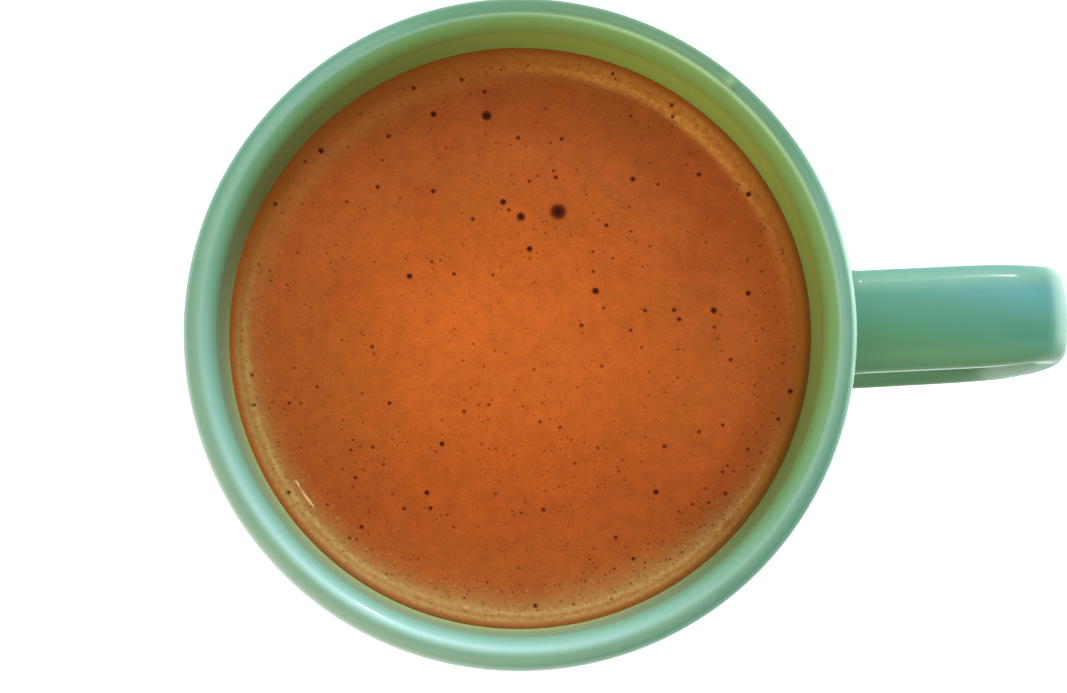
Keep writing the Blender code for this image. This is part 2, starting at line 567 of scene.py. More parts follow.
def speck_group() -> bpy.types.NodeTree:
    """Scattered round specks, for pin bubbles in froth and for pinholes in glaze and clay.

    Inside each Voronoi cell that a random draw keeps, a dot lies round the cell's point.

    Returns:
        The group, with the inputs Vector, Cells (per metre), Radius (of a cell) and Share.
    """
    graph, given, taken = new_group(
        "scattered_specks",
        {
            "Vector": ("NodeSocketVector", None),
            "Cells": ("NodeSocketFloat", 1000.0),
            "Radius": ("NodeSocketFloat", 0.2),
            "Share": ("NodeSocketFloat", 0.3),
        },
        "Mask",
    )
    cells = graph.add("TexVoronoi")
    graph.put(cells.inputs["Vector"], given.outputs["Vector"])
    graph.put(cells.inputs["Scale"], given.outputs["Cells"])
    draw = graph.add("SeparateColor")
    graph.put(draw.inputs[0], cells.outputs["Color"])
    kept = graph.math("LESS_THAN", draw.outputs[0], given.outputs["Share"])
    size = graph.math("MULTIPLY", given.outputs["Radius"], graph.math("ADD", draw.outputs[1], 0.4))
    depth = graph.math("DIVIDE", cells.outputs["Distance"], size)
    dot = graph.ramp(depth, 0.6, 1.1, 1.0, 0.0)
    graph.put(taken, graph.math("MULTIPLY", dot, kept))
    return graph.tree


def patch_group() -> bpy.types.NodeTree:
    """Soft uneven patches at two scales, from 0 to 1, used to vary the colour of every finish.

    Returns:
        The group, with the inputs Vector, Lumps (per metre) and Fine (share of the finer scale).
    """
    graph, given, taken = new_group(
        "soft_patches",
        {
            "Vector": ("NodeSocketVector", None),
            "Lumps": ("NodeSocketFloat", 50.0),
            "Fine": ("NodeSocketFloat", 0.3),
        },
        "Value",
    )
    wide = graph.add("TexNoise")
    fine = graph.add("TexNoise")
    for node, times in ((wide, 1.0), (fine, 6.3)):
        graph.put(node.inputs["Vector"], given.outputs["Vector"])
        graph.put(node.inputs["Scale"], graph.math("MULTIPLY", given.outputs["Lumps"], times))
    mix = graph.add("Mix", data_type="FLOAT")
    graph.put(mix.inputs["Factor"], given.outputs["Fine"])
    graph.put(mix.inputs["A"], wide.outputs["Fac"])
    graph.put(mix.inputs["B"], fine.outputs["Fac"])
    graph.put(taken, graph.ramp(mix.outputs["Result"], 0.3, 0.7))
    return graph.tree


class SharedEffects:
    """The node groups that more than one finish uses."""

    def __init__(self) -> None:
        """Builds the groups once."""
        self.specks = speck_group()
        self.patches = patch_group()


def new_material(name: str, **constants: float) -> tuple[bpy.types.Material, Graph, bpy.types.Node]:
    """Starts a Principled material whose plain numbers sit on the shader's own sockets.

    Args:
        name: The material's name.
        constants: Values of the shader's sockets, with _ for a space.

    Returns:
        The material, its graph and its Principled BSDF.
    """
    material = bpy.data.materials.new(name)
    material.use_nodes = True
    shader = material.node_tree.nodes["Principled BSDF"]
    for key, value in constants.items():
        shader.inputs[key.replace("_", " ")].default_value = value
    return material, Graph(material.node_tree), shader


# ---------------- finishes


@dataclass(frozen=True)
class CeladonGlaze:
    """Glossy green glaze over stoneware, darker in soft patches and paler where it thins on edges, with
    painted light and shade in its colour.
    """

    effects: SharedEffects
    body: RGB = (0.088, 0.254, 0.164)
    pooled: RGB = (0.072, 0.234, 0.154)
    # Thin glaze, and a painted reflection on the lip's outer edge towards -X and -Y.
    thinned_and_reflected: RGB = (0.260, 0.400, 0.240)
    # A tea film at the drink's edge, and painted shade and a painted reflection of the tea higher up.
    olive: RGB = (0.168, 0.268, 0.068)
    # Painted light on the olive wall towards +X and +Y.
    bright_olive: RGB = (0.300, 0.490, 0.105)
    # Painted light on the inner wall towards -X and -Y.
    pale: RGB = (0.200, 0.380, 0.280)
    # Milk residue just above the drink, with painted light.
    residue: RGB = (0.500, 0.640, 0.220)
    # Painted shade over the lip's outer half towards +Y.
    deep: RGB = (0.100, 0.188, 0.088)
    # A painted highlight on the lip's edge, and a painted reflection on the strap's bend.
    light: RGB = (0.560, 0.800, 0.660)
    # A painted reflection of the sky on the strap's +Y side.
    cool: RGB = (0.100, 0.280, 0.265)
    # Painted shade on the strap's -Y side and lower arm.
    green: RGB = (0.092, 0.222, 0.100)
    crest: RGB = (0.360, 0.480, 0.220)
    # A painted highlight along the lip.
    sky_line: RGB = (0.380, 0.570, 0.560)
    speck: RGB = (0.060, 0.090, 0.050)
    roughness: float = 0.09
    ior: float = 1.30
    coat_ior: float = 1.95
    ripple_size: float = 0.011
    ripple_depth: float = 0.00006
    peel_size: float = 0.0016
    peel_depth: float = 0.0000035
    turning_size: float = 0.0005
    turning_depth: float = 0.0000030
    thinning_size: float = 0.004
    pit_depth: float = 0.00003
    matt_roughness: float = 0.24
    uncoated_from: float = 0.7

    def material(self) -> bpy.types.Material:
        """Builds the glaze's nodes.

        Returns:
            The material.
        """
        material, graph, shader = new_material(
            "celadon_glaze", IOR=self.ior, Coat_Roughness=0.06, Coat_IOR=self.coat_ior)
        place = graph.place()
        patches = graph.group(self.effects.patches, Vector=place, Lumps=42.0, Fine=0.3)
        colour = graph.blend(patches, self.body, self.pooled)
        # Painted light and shade on the strap: a reflection of the sky on its +Y side, green shade on the
        # other.
        colour = graph.blend(graph.attribute("cool_side"), colour, self.cool)
        colour = graph.blend(graph.attribute("green_side"), colour, self.green)
        # Thin glaze, and a painted reflection on the lip's outer edge towards -X and -Y.
        thin = graph.attribute("glaze_thin")
        uneven = graph.ramp(graph.noise(place, self.thinning_size), 0.2, 0.8, 0.75, 1.0)
        colour = graph.blend(graph.math("MULTIPLY", thin, uneven), colour, self.thinned_and_reflected)
        # A tea film by the drink, and higher on the wall painted shade and a painted reflection of the
        # tea.
        film = graph.attribute("tea_film")
        olive = graph.blend(graph.attribute("olive_glow"), self.olive, self.bright_olive)
        colour = graph.blend(film, colour, olive)
        # Painted light on the wall towards -X and -Y, then milk residue with painted light.
        colour = graph.blend(graph.attribute("pale_glaze"), colour, self.pale)
        colour = graph.blend(graph.attribute("milk_residue"), colour, self.residue)
        # Painted shade on the lip's outer half towards +Y, then the thin crest line.
        colour = graph.blend(graph.attribute("deep_glaze"), colour, self.deep)
        colour = graph.blend(graph.attribute("crest_line"), colour, self.crest)
        # A painted highlight along the lip, then a painted highlight and reflection on edges.
        colour = graph.blend(graph.attribute("sky_line"), colour, self.sky_line)
        colour = graph.blend(graph.attribute("light_edge"), colour, self.light)
        specks = graph.group(self.effects.specks, Vector=place, Cells=130.0, Radius=0.022, Share=0.05)
        colour = graph.blend(graph.math("MULTIPLY", specks, 0.7), colour, self.speck)
        graph.put(shader.inputs["Base Color"], colour)
        worn = graph.ramp(patches, 0.0, 1.0, self.roughness, 1.5 * self.roughness)
        matt = graph.math("MAXIMUM", graph.attribute("matt_wall"), graph.attribute("deep_glaze"))
        duller = graph.math("MULTIPLY", matt, self.matt_roughness)
        graph.put(shader.inputs["Roughness"], graph.math("ADD", worn, duller))
        matt = graph.math("MAXIMUM", matt, graph.attribute("matt_side"))
        graph.put(shader.inputs["Coat Weight"], graph.ramp(matt, 0.0, self.uncoated_from, 1.0, 0.0))
        ripple = graph.bump(graph.noise(place, self.ripple_size, 1.0), self.ripple_depth)
        peel = graph.bump(graph.noise(place, self.peel_size, 1.0), self.peel_depth, ripple)
        pits = graph.bump(graph.math("SUBTRACT", 1.0, specks), self.pit_depth, peel)
        rings = graph.noise(graph.round_the_axis(place), self.turning_size, 1.0)
        graph.put(shader.inputs["Normal"], graph.bump(rings, self.turning_depth, pits))
        return material


@dataclass(frozen=True)
class BareClay:
    """Unglazed buff stoneware on the flat base, with iron specks and fine grain."""

    effects: SharedEffects
    body: RGB = (0.560, 0.440, 0.310)
    shade: RGB = (0.430, 0.320, 0.210)
    iron: RGB = (0.120, 0.070, 0.040)
    grain_size: float = 0.0005
    grain_depth: float = 0.00008

    def material(self) -> bpy.types.Material:
        """Builds the clay's nodes.

        Returns:
            The material.
        """
        material, graph, shader = new_material("bare_clay", Roughness=0.85, IOR=1.45)
        place = graph.place()
        patches = graph.group(self.effects.patches, Vector=place, Lumps=60.0, Fine=0.5)
        specks = graph.group(self.effects.specks, Vector=place, Cells=320.0, Radius=0.09, Share=0.3)
        colour = graph.blend(patches, self.body, self.shade)
        colour = graph.blend(graph.math("MULTIPLY", specks, 0.75), colour, self.iron)
        graph.put(shader.inputs["Base Color"], colour)
        grain = graph.noise(place, self.grain_size, 3.0, 0.6)
        graph.put(shader.inputs["Normal"], graph.bump(grain, self.grain_depth))
        return material


@dataclass(frozen=True)
class MilkyTea:
    """Milk tea under fine froth: mottled orange brown, with a pale foam ring, and painted light and shade:
    a lighter middle, dark bubbles, a dark edge at the wall, a lit rim line and one glint.
    """

    effects: SharedEffects
    froth: RGB = (0.560, 0.099, 0.0102)
    froth_dark: RGB = (0.466, 0.088, 0.0083)
    froth_red: RGB = (0.470, 0.062, 0.0048)
    # Painted shade: a tint that dims the colour away from the drink's lit middle.
    painted_edge_shade_tint: RGB = (0.740, 0.790, 1.000)
    foam: RGB = (0.390, 0.232, 0.068)
    foam_line: RGB = (0.520, 0.285, 0.088)
    # Painted light on a rim line between +X and +Y.
    bright_rim: RGB = (0.800, 0.330, 0.062)
    wall_band: RGB = (0.300, 0.086, 0.006)
    # Painted shade along the crease where the drink meets the wall.
    contact: RGB = (0.104, 0.042, 0.005)
    shaded: RGB = (0.660, 0.680, 0.620)
    # A painted glint.
    streak: RGB = (0.900, 0.600, 0.300)
    # Painted shade inside the open bubbles and the pin bubbles.
    bubble: RGB = (0.040, 0.001, 0.001)
    pin_bubble: RGB = (0.150, 0.022, 0.003)
    ior: float = 1.33
    red_size: float = 0.009
    blotch_size: float = 0.0015
    foam_size: float = 0.0006
    streak_break: float = 0.0007
    grain_cells: float = 3600.0
    grain_depth: float = 0.000018

    def material(self) -> bpy.types.Material:
        """Builds the tea's nodes.

        Returns:
            The material.
        """
        material, graph, shader = new_material("milky_tea", IOR=self.ior, Specular_IOR_Level=0.15)
        place = graph.place()
        patches = graph.group(self.effects.patches, Vector=place, Lumps=55.0, Fine=0.35)
        colour = graph.blend(patches, self.froth, self.froth_dark)
        red = graph.ramp(graph.noise(place, self.red_size, 2.0), 0.56, 0.78, 0.0, 0.45)
        red = graph.math("MAXIMUM", red, graph.attribute("red_froth"))
        colour = graph.blend(red, colour, self.froth_red)
        # Painted shade dims the colour away from the middle, and painted light keeps the middle whole.
        deep = graph.blend(1.0, colour, self.painted_edge_shade_tint, "MULTIPLY")
        colour = graph.blend(graph.attribute("thick_froth"), deep, colour)
        shaded = graph.blend(1.0, colour, self.shaded, "MULTIPLY")
        colour = graph.blend(graph.attribute("shaded_froth"), colour, shaded)
        grain = graph.add("TexVoronoi")
        graph.put(grain.inputs["Vector"], place)
        grain.inputs["Scale"].default_value = self.grain_cells
        cell = graph.ramp(grain.outputs["Distance"], 0.1, 0.8, 0.92, 1.10)
        blotch = graph.ramp(graph.noise(place, self.blotch_size, 3.0), 0.3, 0.7, 0.94, 1.06)
        cell = graph.math("MULTIPLY", cell, blotch)
        tone = graph.add("CombineColor")
        for socket in tone.inputs[:3]:
            graph.put(socket, cell)
        colour = graph.blend(1.0, colour, tone.outputs[0], "MULTIPLY")
        foam = graph.attribute("foam")
        fine = graph.ramp(graph.noise(place, self.foam_size, 3.0), 0.3, 0.65, 0.50, 1.0)
        colour = graph.blend(graph.math("MULTIPLY", foam, fine), colour, self.foam)
        colour = graph.blend(graph.attribute("wall_band"), colour, self.wall_band)
        # bright_rim's colour is painted light; foam_line's is the foam's own colour.
        for name, tint in (("bright_rim", self.bright_rim), ("foam_line", self.foam_line)):
            share = graph.math("MULTIPLY", graph.attribute(name), fine)
            colour = graph.blend(share, colour, tint)
        # Painted shade where the drink meets the wall.
        colour = graph.blend(graph.attribute("contact"), colour, self.contact)
        # A painted glint along one arc.
        broken = graph.ramp(graph.noise(place, self.streak_break, 2.0), 0.35, 0.6, 0.25, 0.9)
        share = graph.math("MULTIPLY", graph.attribute("streak"), broken)
        colour = graph.blend(share, colour, self.streak)
        # Painted shade in the pin bubbles and in the open bubbles' pits.
        pins = graph.group(self.effects.specks, Vector=place, Cells=900.0, Radius=0.12, Share=0.16)
        colour = graph.blend(graph.math("MULTIPLY", pins, 0.6), colour, self.pin_bubble)
        hole = graph.attribute("bubble")
        colour = graph.blend(hole, colour, self.bubble)
        graph.put(shader.inputs["Base Color"], colour)
        graph.put(shader.inputs["Roughness"], graph.ramp(hole, 0.0, 1.0, 0.32, 0.45))
        relief = graph.bump(graph.math("SUBTRACT", grain.outputs["Distance"], pins), self.grain_depth)
        graph.put(shader.inputs["Normal"], relief)
        return material


# ---------------- the cup


@dataclass(frozen=True)
class CupGlaze:
    """How the glaze, with its painted light and shade, varies over the turned cup, as a value from 0 to 1
    at each of its points.

    Attributes:
        cup: The cup, whose lip the places are measured from.
        radius: Distance of each point from Z.
        angle: Its angle round Z.
        z: Its height.
    """

    cup: "Mug"
    radius: np.ndarray
    angle: np.ndarray
    z: np.ndarray
    # Where the lip's outer edge has a painted highlight.
    light_side: Sector = Sector(2, 17)
    reflected_side: Sector = Sector(218, 50)
    # The side where the lip's outer edge has a painted reflection.
    covered_side: Sector = Sector(66, 60)
    glossy_side: Sector = Sector(222, 60)
    shaded_lip_side: Sector = Sector(66, 48)
    crest_side: Sector = Sector(52, 42)
    sky_side: Sector = Sector(240, 62)
    olive_turn: float = 50.0
    pale_turn: float = 238.0
    crest_inset: float = 0.0024
    crest_width: float = 0.00026
    sky_inset: float = 0.0030
    sky_width: float = 0.00065
    foot_edge: float = 0.0012
    drop_angle: float = 47.3
    drop_inset: float = 0.0016
    drop_size: float = 0.0008
    drop_height: float = 0.00045
    drop_tint: float = 0.40

    def outwards(self, start: float, end: float) -> np.ndarray:
        """Rises from 0 to 1 between two distances inside the rim's radius."""
        return smooth_step(self.radius, self.cup.rim_radius - start, self.cup.rim_radius - end)

    def upwards(self, start: float, end: float) -> np.ndarray:
        """Rises from 0 to 1 between two depths under the rim."""
        return smooth_step(self.z, self.cup.height - start, self.cup.height - end)

    def on_lip(self) -> np.ndarray:
        """Whether a point is on the lip."""
        return self.z > self.cup.height - self.cup.lip_thickness

    def drop(self) -> np.ndarray:
        """A single drop of glaze that froze on the lip: a bell curve of the distance from it.

        Returns:
            The drop's share at each point, 1 at its middle.
        """
        along = self.cup.rim_radius * turned_from(self.angle, self.drop_angle)
        across = self.radius - (self.cup.rim_radius - self.drop_inset)
        return np.exp(-(along**2 + across**2) / self.drop_size**2) * self.on_lip()

    def light_edge(self) -> np.ndarray:
        """A painted highlight: a pale strip on the lip's outer edge where the handle stands below it."""
        edge = self.light_side.share(self.angle) * self.outwards(0.0011, 0.0003)
        return edge * self.upwards(0.008, 0.005)

    def thin_glaze_and_reflection(self) -> np.ndarray:
        """How thin the glaze is: it runs off the lip's crest and the foot's edge.

        The same pale colour on the lip's outer edge, on the side between -X and -Y, is a painted
        reflection of warm light.

        Returns:
            The thinness at each point, with that painted reflection.
        """
        middle = self.cup.rim_radius - 0.45 * self.cup.lip_thickness
        crest = bell(self.radius, middle, 0.0009) * self.on_lip()
        crest = 0.35 * crest * (1 - self.covered_side.share(self.angle))
        foot = 0.6 * bell(self.z, self.foot_edge, self.foot_edge) * (self.radius > 0.03)
        edge = self.outwards(0.0014, 0.0004) * self.upwards(0.009, 0.004)
        return np.clip(crest + foot + 0.9 * self.reflected_side.share(self.angle) * edge, 0.0, 1.0)

    def inner_wall(self) -> dict[str, np.ndarray]:
        """Where the inner wall's glaze changes colour.

        matt_wall is the whole inner wall, whose glaze steam and tea have dulled. tea_film
        is an olive tint, full at the drink's edge, where it is a tea film, and up to the lip's
        crest on the side between +X and +Y, where it is painted shade and a painted reflection
        of the tea. olive_glow is painted light on that side's wall. pale_glaze is painted light
        over the whole wall on the opposite side, and milk_residue lightens that side just above
        the drink with milk residue and painted light.

        Returns:
            The named values.
        """
        above = self.z - (self.cup.height - self.cup.drink_depth)
        inside = (above > -0.0021) & (self.radius < self.cup.rim_radius - 0.0021)
        near = facing(self.angle, self.olive_turn)
        far = smooth_step(facing(self.angle, self.pale_turn), 0.50, 0.97)
        wet = np.exp(-np.maximum(above - 0.0016, 0.0) / 0.0016)
        crest = self.cup.rim_radius - 0.0023
        over = 1 - smooth_step(self.radius, crest - 0.0018 + 0.0012 * near, crest + 0.0002)
        wall = 1 - smooth_step(above, 0.0080, 0.0123)
        high = near**0.7
        drying = np.exp(-np.maximum(above - 0.0017, 0.0) / 0.0030)
        values = {
            "matt_wall": over,
            "tea_film": (high + (1 - high) * wet) * over,
            "olive_glow": near**2 * wall,
            "pale_glaze": far * over,
            "milk_residue": far * drying,
        }
        return {name: np.where(inside, value, 0.0) for name, value in values.items()}

    def matt_side(self) -> np.ndarray:
        """How dull the cup's outer side is: least on the side between -X and -Y."""
        return 0.6 * self.outwards(0.0016, 0.0006) * (1 - 0.7 * self.glossy_side.share(self.angle))

    def deep_glaze(self) -> np.ndarray:
        """Painted shade: a darker band over the lip's outer half, towards +Y."""
        band = self.outwards(0.0025, 0.0021) * (1 - 0.6 * self.outwards(0.0008, 0.0001))
        return self.shaded_lip_side.share(self.angle) * band * self.upwards(0.009, 0.003)

    def crest_line(self) -> np.ndarray:
        """A narrow line of thinner glaze on the lip's crest, clearest between +X and +Y.

        The drop of glaze has some of its colour.

        Returns:
            The line's strength at each point.
        """
        strength = 0.10 + 0.85 * self.crest_side.share(self.angle)
        line = bell(self.radius, self.cup.rim_radius - self.crest_inset, self.crest_width)
        drop = self.drop_tint * smooth_step(self.drop(), 0.15, 0.75)
        return np.maximum(strength * line * self.on_lip(), drop)

    def sky_line(self) -> np.ndarray:
        """A painted highlight: a soft band of pale blue along the lip, towards -Y."""
        line = bell(self.radius, self.cup.rim_radius - self.sky_inset, self.sky_width)
        return 0.7 * self.sky_side.share(self.angle) * line * self.on_lip()

    def values(self) -> dict[str, np.ndarray]:
        """All of these under the names that the glaze's finish reads.

        Returns:
            The named values.
        """
        return {
            "glaze_thin": self.thin_glaze_and_reflection(),
            "light_edge": self.light_edge(),
            "crest_line": self.crest_line(),
            "sky_line": self.sky_line(),
            "matt_side": self.matt_side(),
            "deep_glaze": self.deep_glaze(),
            **self.inner_wall(),
        }


@dataclass
class Mug:
    """The cup and its strap handle: one fired, glazed piece on a bare flat base.

    The cup is a profile turned round Z. The handle is a strap section carried along a path.
    Where it meets the wall, a rectangle of the wall's grid is left open, and a fillet of
    Hermite curves joins that opening's edge to the strap's first section.
    """

    height: float = 0.086
    rim_radius: float = 0.0414
    lip_thickness: float = 0.0042
    outer_taper: float = 0.030
    inner_taper: float = 0.026
    floor_thickness: float = 0.0056
    base_corner: float = 0.0075
    inner_corner: float = 0.0100
    strap_width: float = 0.0132
    strap_thickness: float = 0.0062
    strap_edge: float = 0.0017
    strap_crown: float = 0.33
    bend_narrowing: float = 0.0010
    bend_spread: float = 0.0055
    low_widening: float = 0.0010
    widening_drop: float = 0.0160
    handle_reach: float = 0.0720
    handle_top_depth: float = 0.0110
    top_bend: float = 0.0052
    low_bend: float = 0.0100
    low_corner_depth: float = 0.0540
    low_arm_slope: float = math.radians(12)
    # Length of a fillet along the strap, and how far it reaches over the wall.
    fillet: float = 0.0030
    fillet_reach: float = 0.0018
    fillet_steps: int = 9
    columns: int = 320
    root_columns: int = 24
    root_rows: int = 10
    wall_step: float = 0.00106
    base_step: float = 0.0009
    lip_step: float = 0.0005
    hidden_step: float = 0.006
    strap_step: float = 0.0007
    # The base: the radius where the glaze ends, its roll and its step there, turned rings.
    glaze_end: float = 0.0329
    roll_inset: float = 0.0005
    roll_width: float = 0.0004
    roll_height: float = 0.00012
    glaze_thickness: float = 0.00018
    ring_spacing: float = 0.0027
    ring_depth: float = 0.00005
    drink_depth: float = 0.0120
    # How far firing bent the wall and the rim, and how far under the rim it is felt most.
    wall_warp: float = 0.00005
    rim_warp: float = 0.00006
    warped_reach: float = 0.02

    def outer_radius(self, z: float) -> float:
        """Radius of the outer wall at a height."""
        return self.rim_radius - self.outer_taper * (self.height - z)

    def inner_radius(self, z: float) -> float:
        """Radius of the inner wall at a height."""
        return self.rim_radius - self.lip_thickness - self.inner_taper * (self.height - z)

    def wet_height(self) -> float:
        """A height on the inner wall a little below the drink's surface, where fine rows start."""
        return self.height - self.drink_depth - 0.002

    def profile(self) -> np.ndarray:
        """The half section, from the middle of the floor over the lip to the middle of the base.

        The lip's two arcs are a hair smaller than half its thickness, so that they don't meet.

        Returns:
            The (n, 2) points (radius, z), without the two on the axis.
        """
        hair = 0.00001
        lip = self.lip_thickness / 2 - hair
        outline = rounded([
            Corner(0.0, self.floor_thickness),
            Corner(self.inner_radius(self.floor_thickness), self.floor_thickness, self.inner_corner, 10),
            Corner(self.inner_radius(self.wet_height()), self.wet_height()),
            Corner(self.inner_radius(self.height), self.height, lip, 14),
            Corner(self.outer_radius(self.height), self.height, lip, 14),
            Corner(self.outer_radius(0.0), 0.0, self.base_corner, 16),
            Corner(0.0, 0.0),
        ])

        def spacing(middle: np.ndarray) -> float:
            """Fine steps where the surface shows or the handle joins, coarse under the drink.

            Args:
                middle: The stretch's middle (radius, z).

            Returns:
                The longest step there.
            """
            radius, z = middle
            if z < 0.001:
                return self.base_step
            if radius > self.inner_radius(z) + self.lip_thickness / 2:
                return self.wall_step
            return self.lip_step if z > self.wet_height() else self.hidden_step

        return subdivided(outline, spacing)[1:-1]

    def out_of_round(self, angle: np.ndarray, z: np.ndarray) -> np.ndarray:
        """How far the fired wall stands out from the plain turned form: most near the rim.

        Args:
            angle: The points' angles round Z.
            z: Their heights.

        Returns:
            The distances along the radius.
        """
        shrink = self.wall_warp * wave(angle, (2, 3, 5), np.random.default_rng(7))
        near_rim = bell(z, self.height, self.warped_reach)
        return shrink * (0.4 + 0.6 * near_rim) * smooth_step(z, 0.004, 0.012)

    def add_body(self, surface: Surface) -> np.ndarray:
        """Adds the turned cup, with an opening in its wall at each root of the handle.

        Args:
            surface: What the cup is added to.

        Returns:
            The numbers of the cup's points, as a (rows, columns) array.
        """
        profile = self.profile()
        radius, angle, z = turned_grid(profile, self.columns)
        z = self.finished_base(radius, z)
        radius = radius + self.out_of_round(angle, z)
        sag = self.rim_warp * wave(angle, (1, 2, 4), np.random.default_rng(3))
        z = z + sag * smooth_step(z, 0.05, self.height)
        glaze = CupGlaze(self, radius, angle, z)
        points = turned_places(radius, angle, z + glaze.drop_height * glaze.drop())
        number = surface.add_grid(points, **glaze.values())
        kept = np.ones((len(profile) - 1, self.columns), bool)
        half = self.root_columns // 2
        for row in self.root_first_rows(profile):
            kept[row:row + self.root_rows, :half] = False
            kept[row:row + self.root_rows, -half:] = False
        surface.join_rings(number, kept)
        surface.add_fan(number[0], (0.0, 0.0, self.floor_thickness))
        surface.add_fan(number[-1], (0.0, 0.0, 0.0), facing_down=True)
        return number

    def finished_base(self, radius: np.ndarray, z: np.ndarray) -> np.ndarray:
        """Ends the glaze in a soft roll above the foot, and turns fine rings into the bare base.

        The roll is a bell curve of the radius, and the rings are a cosine of it.

        Args:
            radius: The points' distances from Z.
            z: Their heights.

        Returns:
            Their new heights.
        """
        under = (z < 0.004) & (radius < self.glaze_end + 0.0012) & (radius > 0.02)
        roll = self.roll_height * bell(radius - self.glaze_end, self.roll_inset, self.roll_width)
        step = self.glaze_thickness * (1 - smooth_step(radius, self.glaze_end - 0.0003, self.glaze_end))
        z = np.where(under & (z > 0.00002), z - roll + step * smooth_step(radius, 0.0305, 0.032), z)
        flat = (z < 0.0002) & (radius < self.glaze_end - 0.002)
        rings = 0.5 + 0.5 * np.cos(FULL_TURN * radius / self.ring_spacing)
        return np.where(flat, z + self.ring_depth * rings * (radius > 0.002), z)

    def root_heights(self) -> tuple[float, float]:
        """Heights at which the strap's middle line meets the wall.

        Returns:
            The top root's height and the low one's.
        """
        half = self.strap_thickness / 2
        low = self.height - self.low_corner_depth
        run = self.handle_reach - half - self.outer_radius(low)
        return self.height - self.handle_top_depth - half, low - math.tan(self.low_arm_slope) * run

    def root_first_rows(self, profile: np.ndarray) -> list[int]:
        """The first grid row of each opening in the wall, so that its middle lies on the root.

        Args:
            profile: The cup's profile, whose points are the rows.

        Returns:
            The top opening's row and the low one's.
        """
        outer = profile[:, 0] > self.inner_radius(self.height) + self.lip_thickness / 2
        rows = []
        for z in self.root_heights():
            middle = np.argmin(np.where(outer, np.abs(profile[:, 1] - z), np.inf))
            rows.append(int(middle) - self.root_rows // 2)
        return rows

    def strap_ring(self) -> np.ndarray:
        """The strap's section: a rounded rectangle with crowned faces.

        Each of its four sides runs from the middle of one corner's arc to the middle of the
        next, in steps of equal length, so that side by side it matches a wall opening.

        Returns:
            The (n, 2) points (across, out), from the corner where both are positive, first
            along the outer face.
        """
        edge = self.strap_edge
        straight = (self.strap_width - 2 * edge, self.strap_thickness - 2 * edge)
        arc = edge * math.pi / 4
        sides = []
        for index, steps in enumerate((self.root_columns, self.root_rows) * 2):
            length = straight[index % 2]
            travel = np.linspace(0.0, length + 2 * arc, steps, endpoint=False)
            turn = (np.clip(travel, 0.0, arc) - arc + np.clip(travel - arc - length, 0.0, arc)) / edge
            line = np.clip(travel - arc, 0.0, length) - length / 2
            along = line + edge * np.sin(turn)
            off = straight[1 - index % 2] / 2 + edge * np.cos(turn)
            cos, sin = math.cos(math.pi / 2 * index), math.sin(math.pi / 2 * index)
            sides.append(np.stack([-along * cos - off * sin, -along * sin + off * cos], axis=1))
        ring = np.concatenate(sides)
        ring[:, 1] *= 1 - self.strap_crown * (2 * ring[:, 0] / self.strap_width) ** 2
        return ring

    def strap_path(self) -> np.ndarray:
        """The strap's middle line in the XZ plane, from the end of one fillet to the other's.

        Returns:
            The (n, 2) points (x, z), from the top root outwards, down and back.
        """
        half = self.strap_thickness / 2
        top, low_root = self.root_heights()
        low = self.height - self.low_corner_depth
        reach = self.handle_reach - half
        start = self.outer_radius(top) + self.fillet
        end = self.outer_radius(low_root) + self.fillet
        end_z = low_root + math.tan(self.low_arm_slope) * (end - self.outer_radius(low))
        outline = rounded([
            Corner(start, top),
            Corner(reach, top, self.top_bend, 16),
            Corner(reach, low, self.low_bend, 22),
            Corner(end, end_z),
        ])
        return subdivided(outline, lambda middle: self.strap_step)

    def strap_shares(self, path: np.ndarray) -> np.ndarray:
        """The strap's width along its path, as a share of its plain width.

        It is narrowest at the top bend, by a bell curve of the distance from that corner,
        and widens evenly over the first stretch below the upper arm.

        Args:
            path: The strap's middle line, as (n, 2) points.

        Returns:
            The (n,) shares.
        """
        top = self.root_heights()[0]
        away = (path[:, 0] - self.handle_reach + self.strap_thickness / 2) ** 2 + (path[:, 1] - top) ** 2
        drop = np.clip((top - path[:, 1]) / self.widening_drop, 0.0, 1.0)
        change = self.low_widening * drop - self.bend_narrowing * np.exp(-away / self.bend_spread**2)
        return 1 + change / self.strap_width

    def add_handle(self, surface: Surface, body: np.ndarray) -> None:
        """Adds the strap and its two fillets.

        Args:
            surface: What the handle is added to.
            body: The numbers of the cup's points, as add_body gives them.
        """
        ring = self.strap_ring()
        path = self.strap_path()
        along = np.gradient(path, axis=0)
        along /= np.hypot(along[:, 0], along[:, 1])[:, None]
        out = np.stack([-along[:, 1], along[:, 0]], axis=1)
        across = self.strap_shares(path)[:, None] * ring[None, :, 0]
        x = path[:, None, 0] + out[:, None, 0] * ring[None, :, 1]
        z = path[:, None, 1] + out[:, None, 1] * ring[None, :, 1]
        rings = np.stack([x, across, z], axis=-1)
        corner = self.strap_corner(ring)
        thin = np.tile(corner, (len(path), 1))
        strap = surface.add_grid(rings, glaze_thin=thin, **self.strap_tints(rings))
        surface.join_rings(strap, flipped=True)
        loops = self.opening_loops(body)
        points = np.concatenate(surface.points)
        ends = ((along[0], loops[0], strap[0]), (along[-1], loops[1], strap[-1]))
        for end, (heading, loop, strap_ring) in enumerate(ends):
            fillet = self.fillet_rings(points[loop], points[strap_ring], heading, end == 1)
            fade = smooth_step(np.linspace(0.0, 1.0, self.fillet_steps + 1), 0.0, 1.0)[:-1, None]
            tints = self.strap_tints(fillet)
            for name, value in surface.values[0].items():
                if name != "glaze_thin":
                    tints[name] = (1 - fade) * value[loop] + fade * tints.get(name, 0.0)
            for name in ("cool_side", "green_side"):
                tints[name] = fade * tints[name]
            middle = surface.add_grid(fillet, glaze_thin=corner[None] * fade**2, **tints)
            stack = np.concatenate([loop[None], middle, strap_ring[None]])
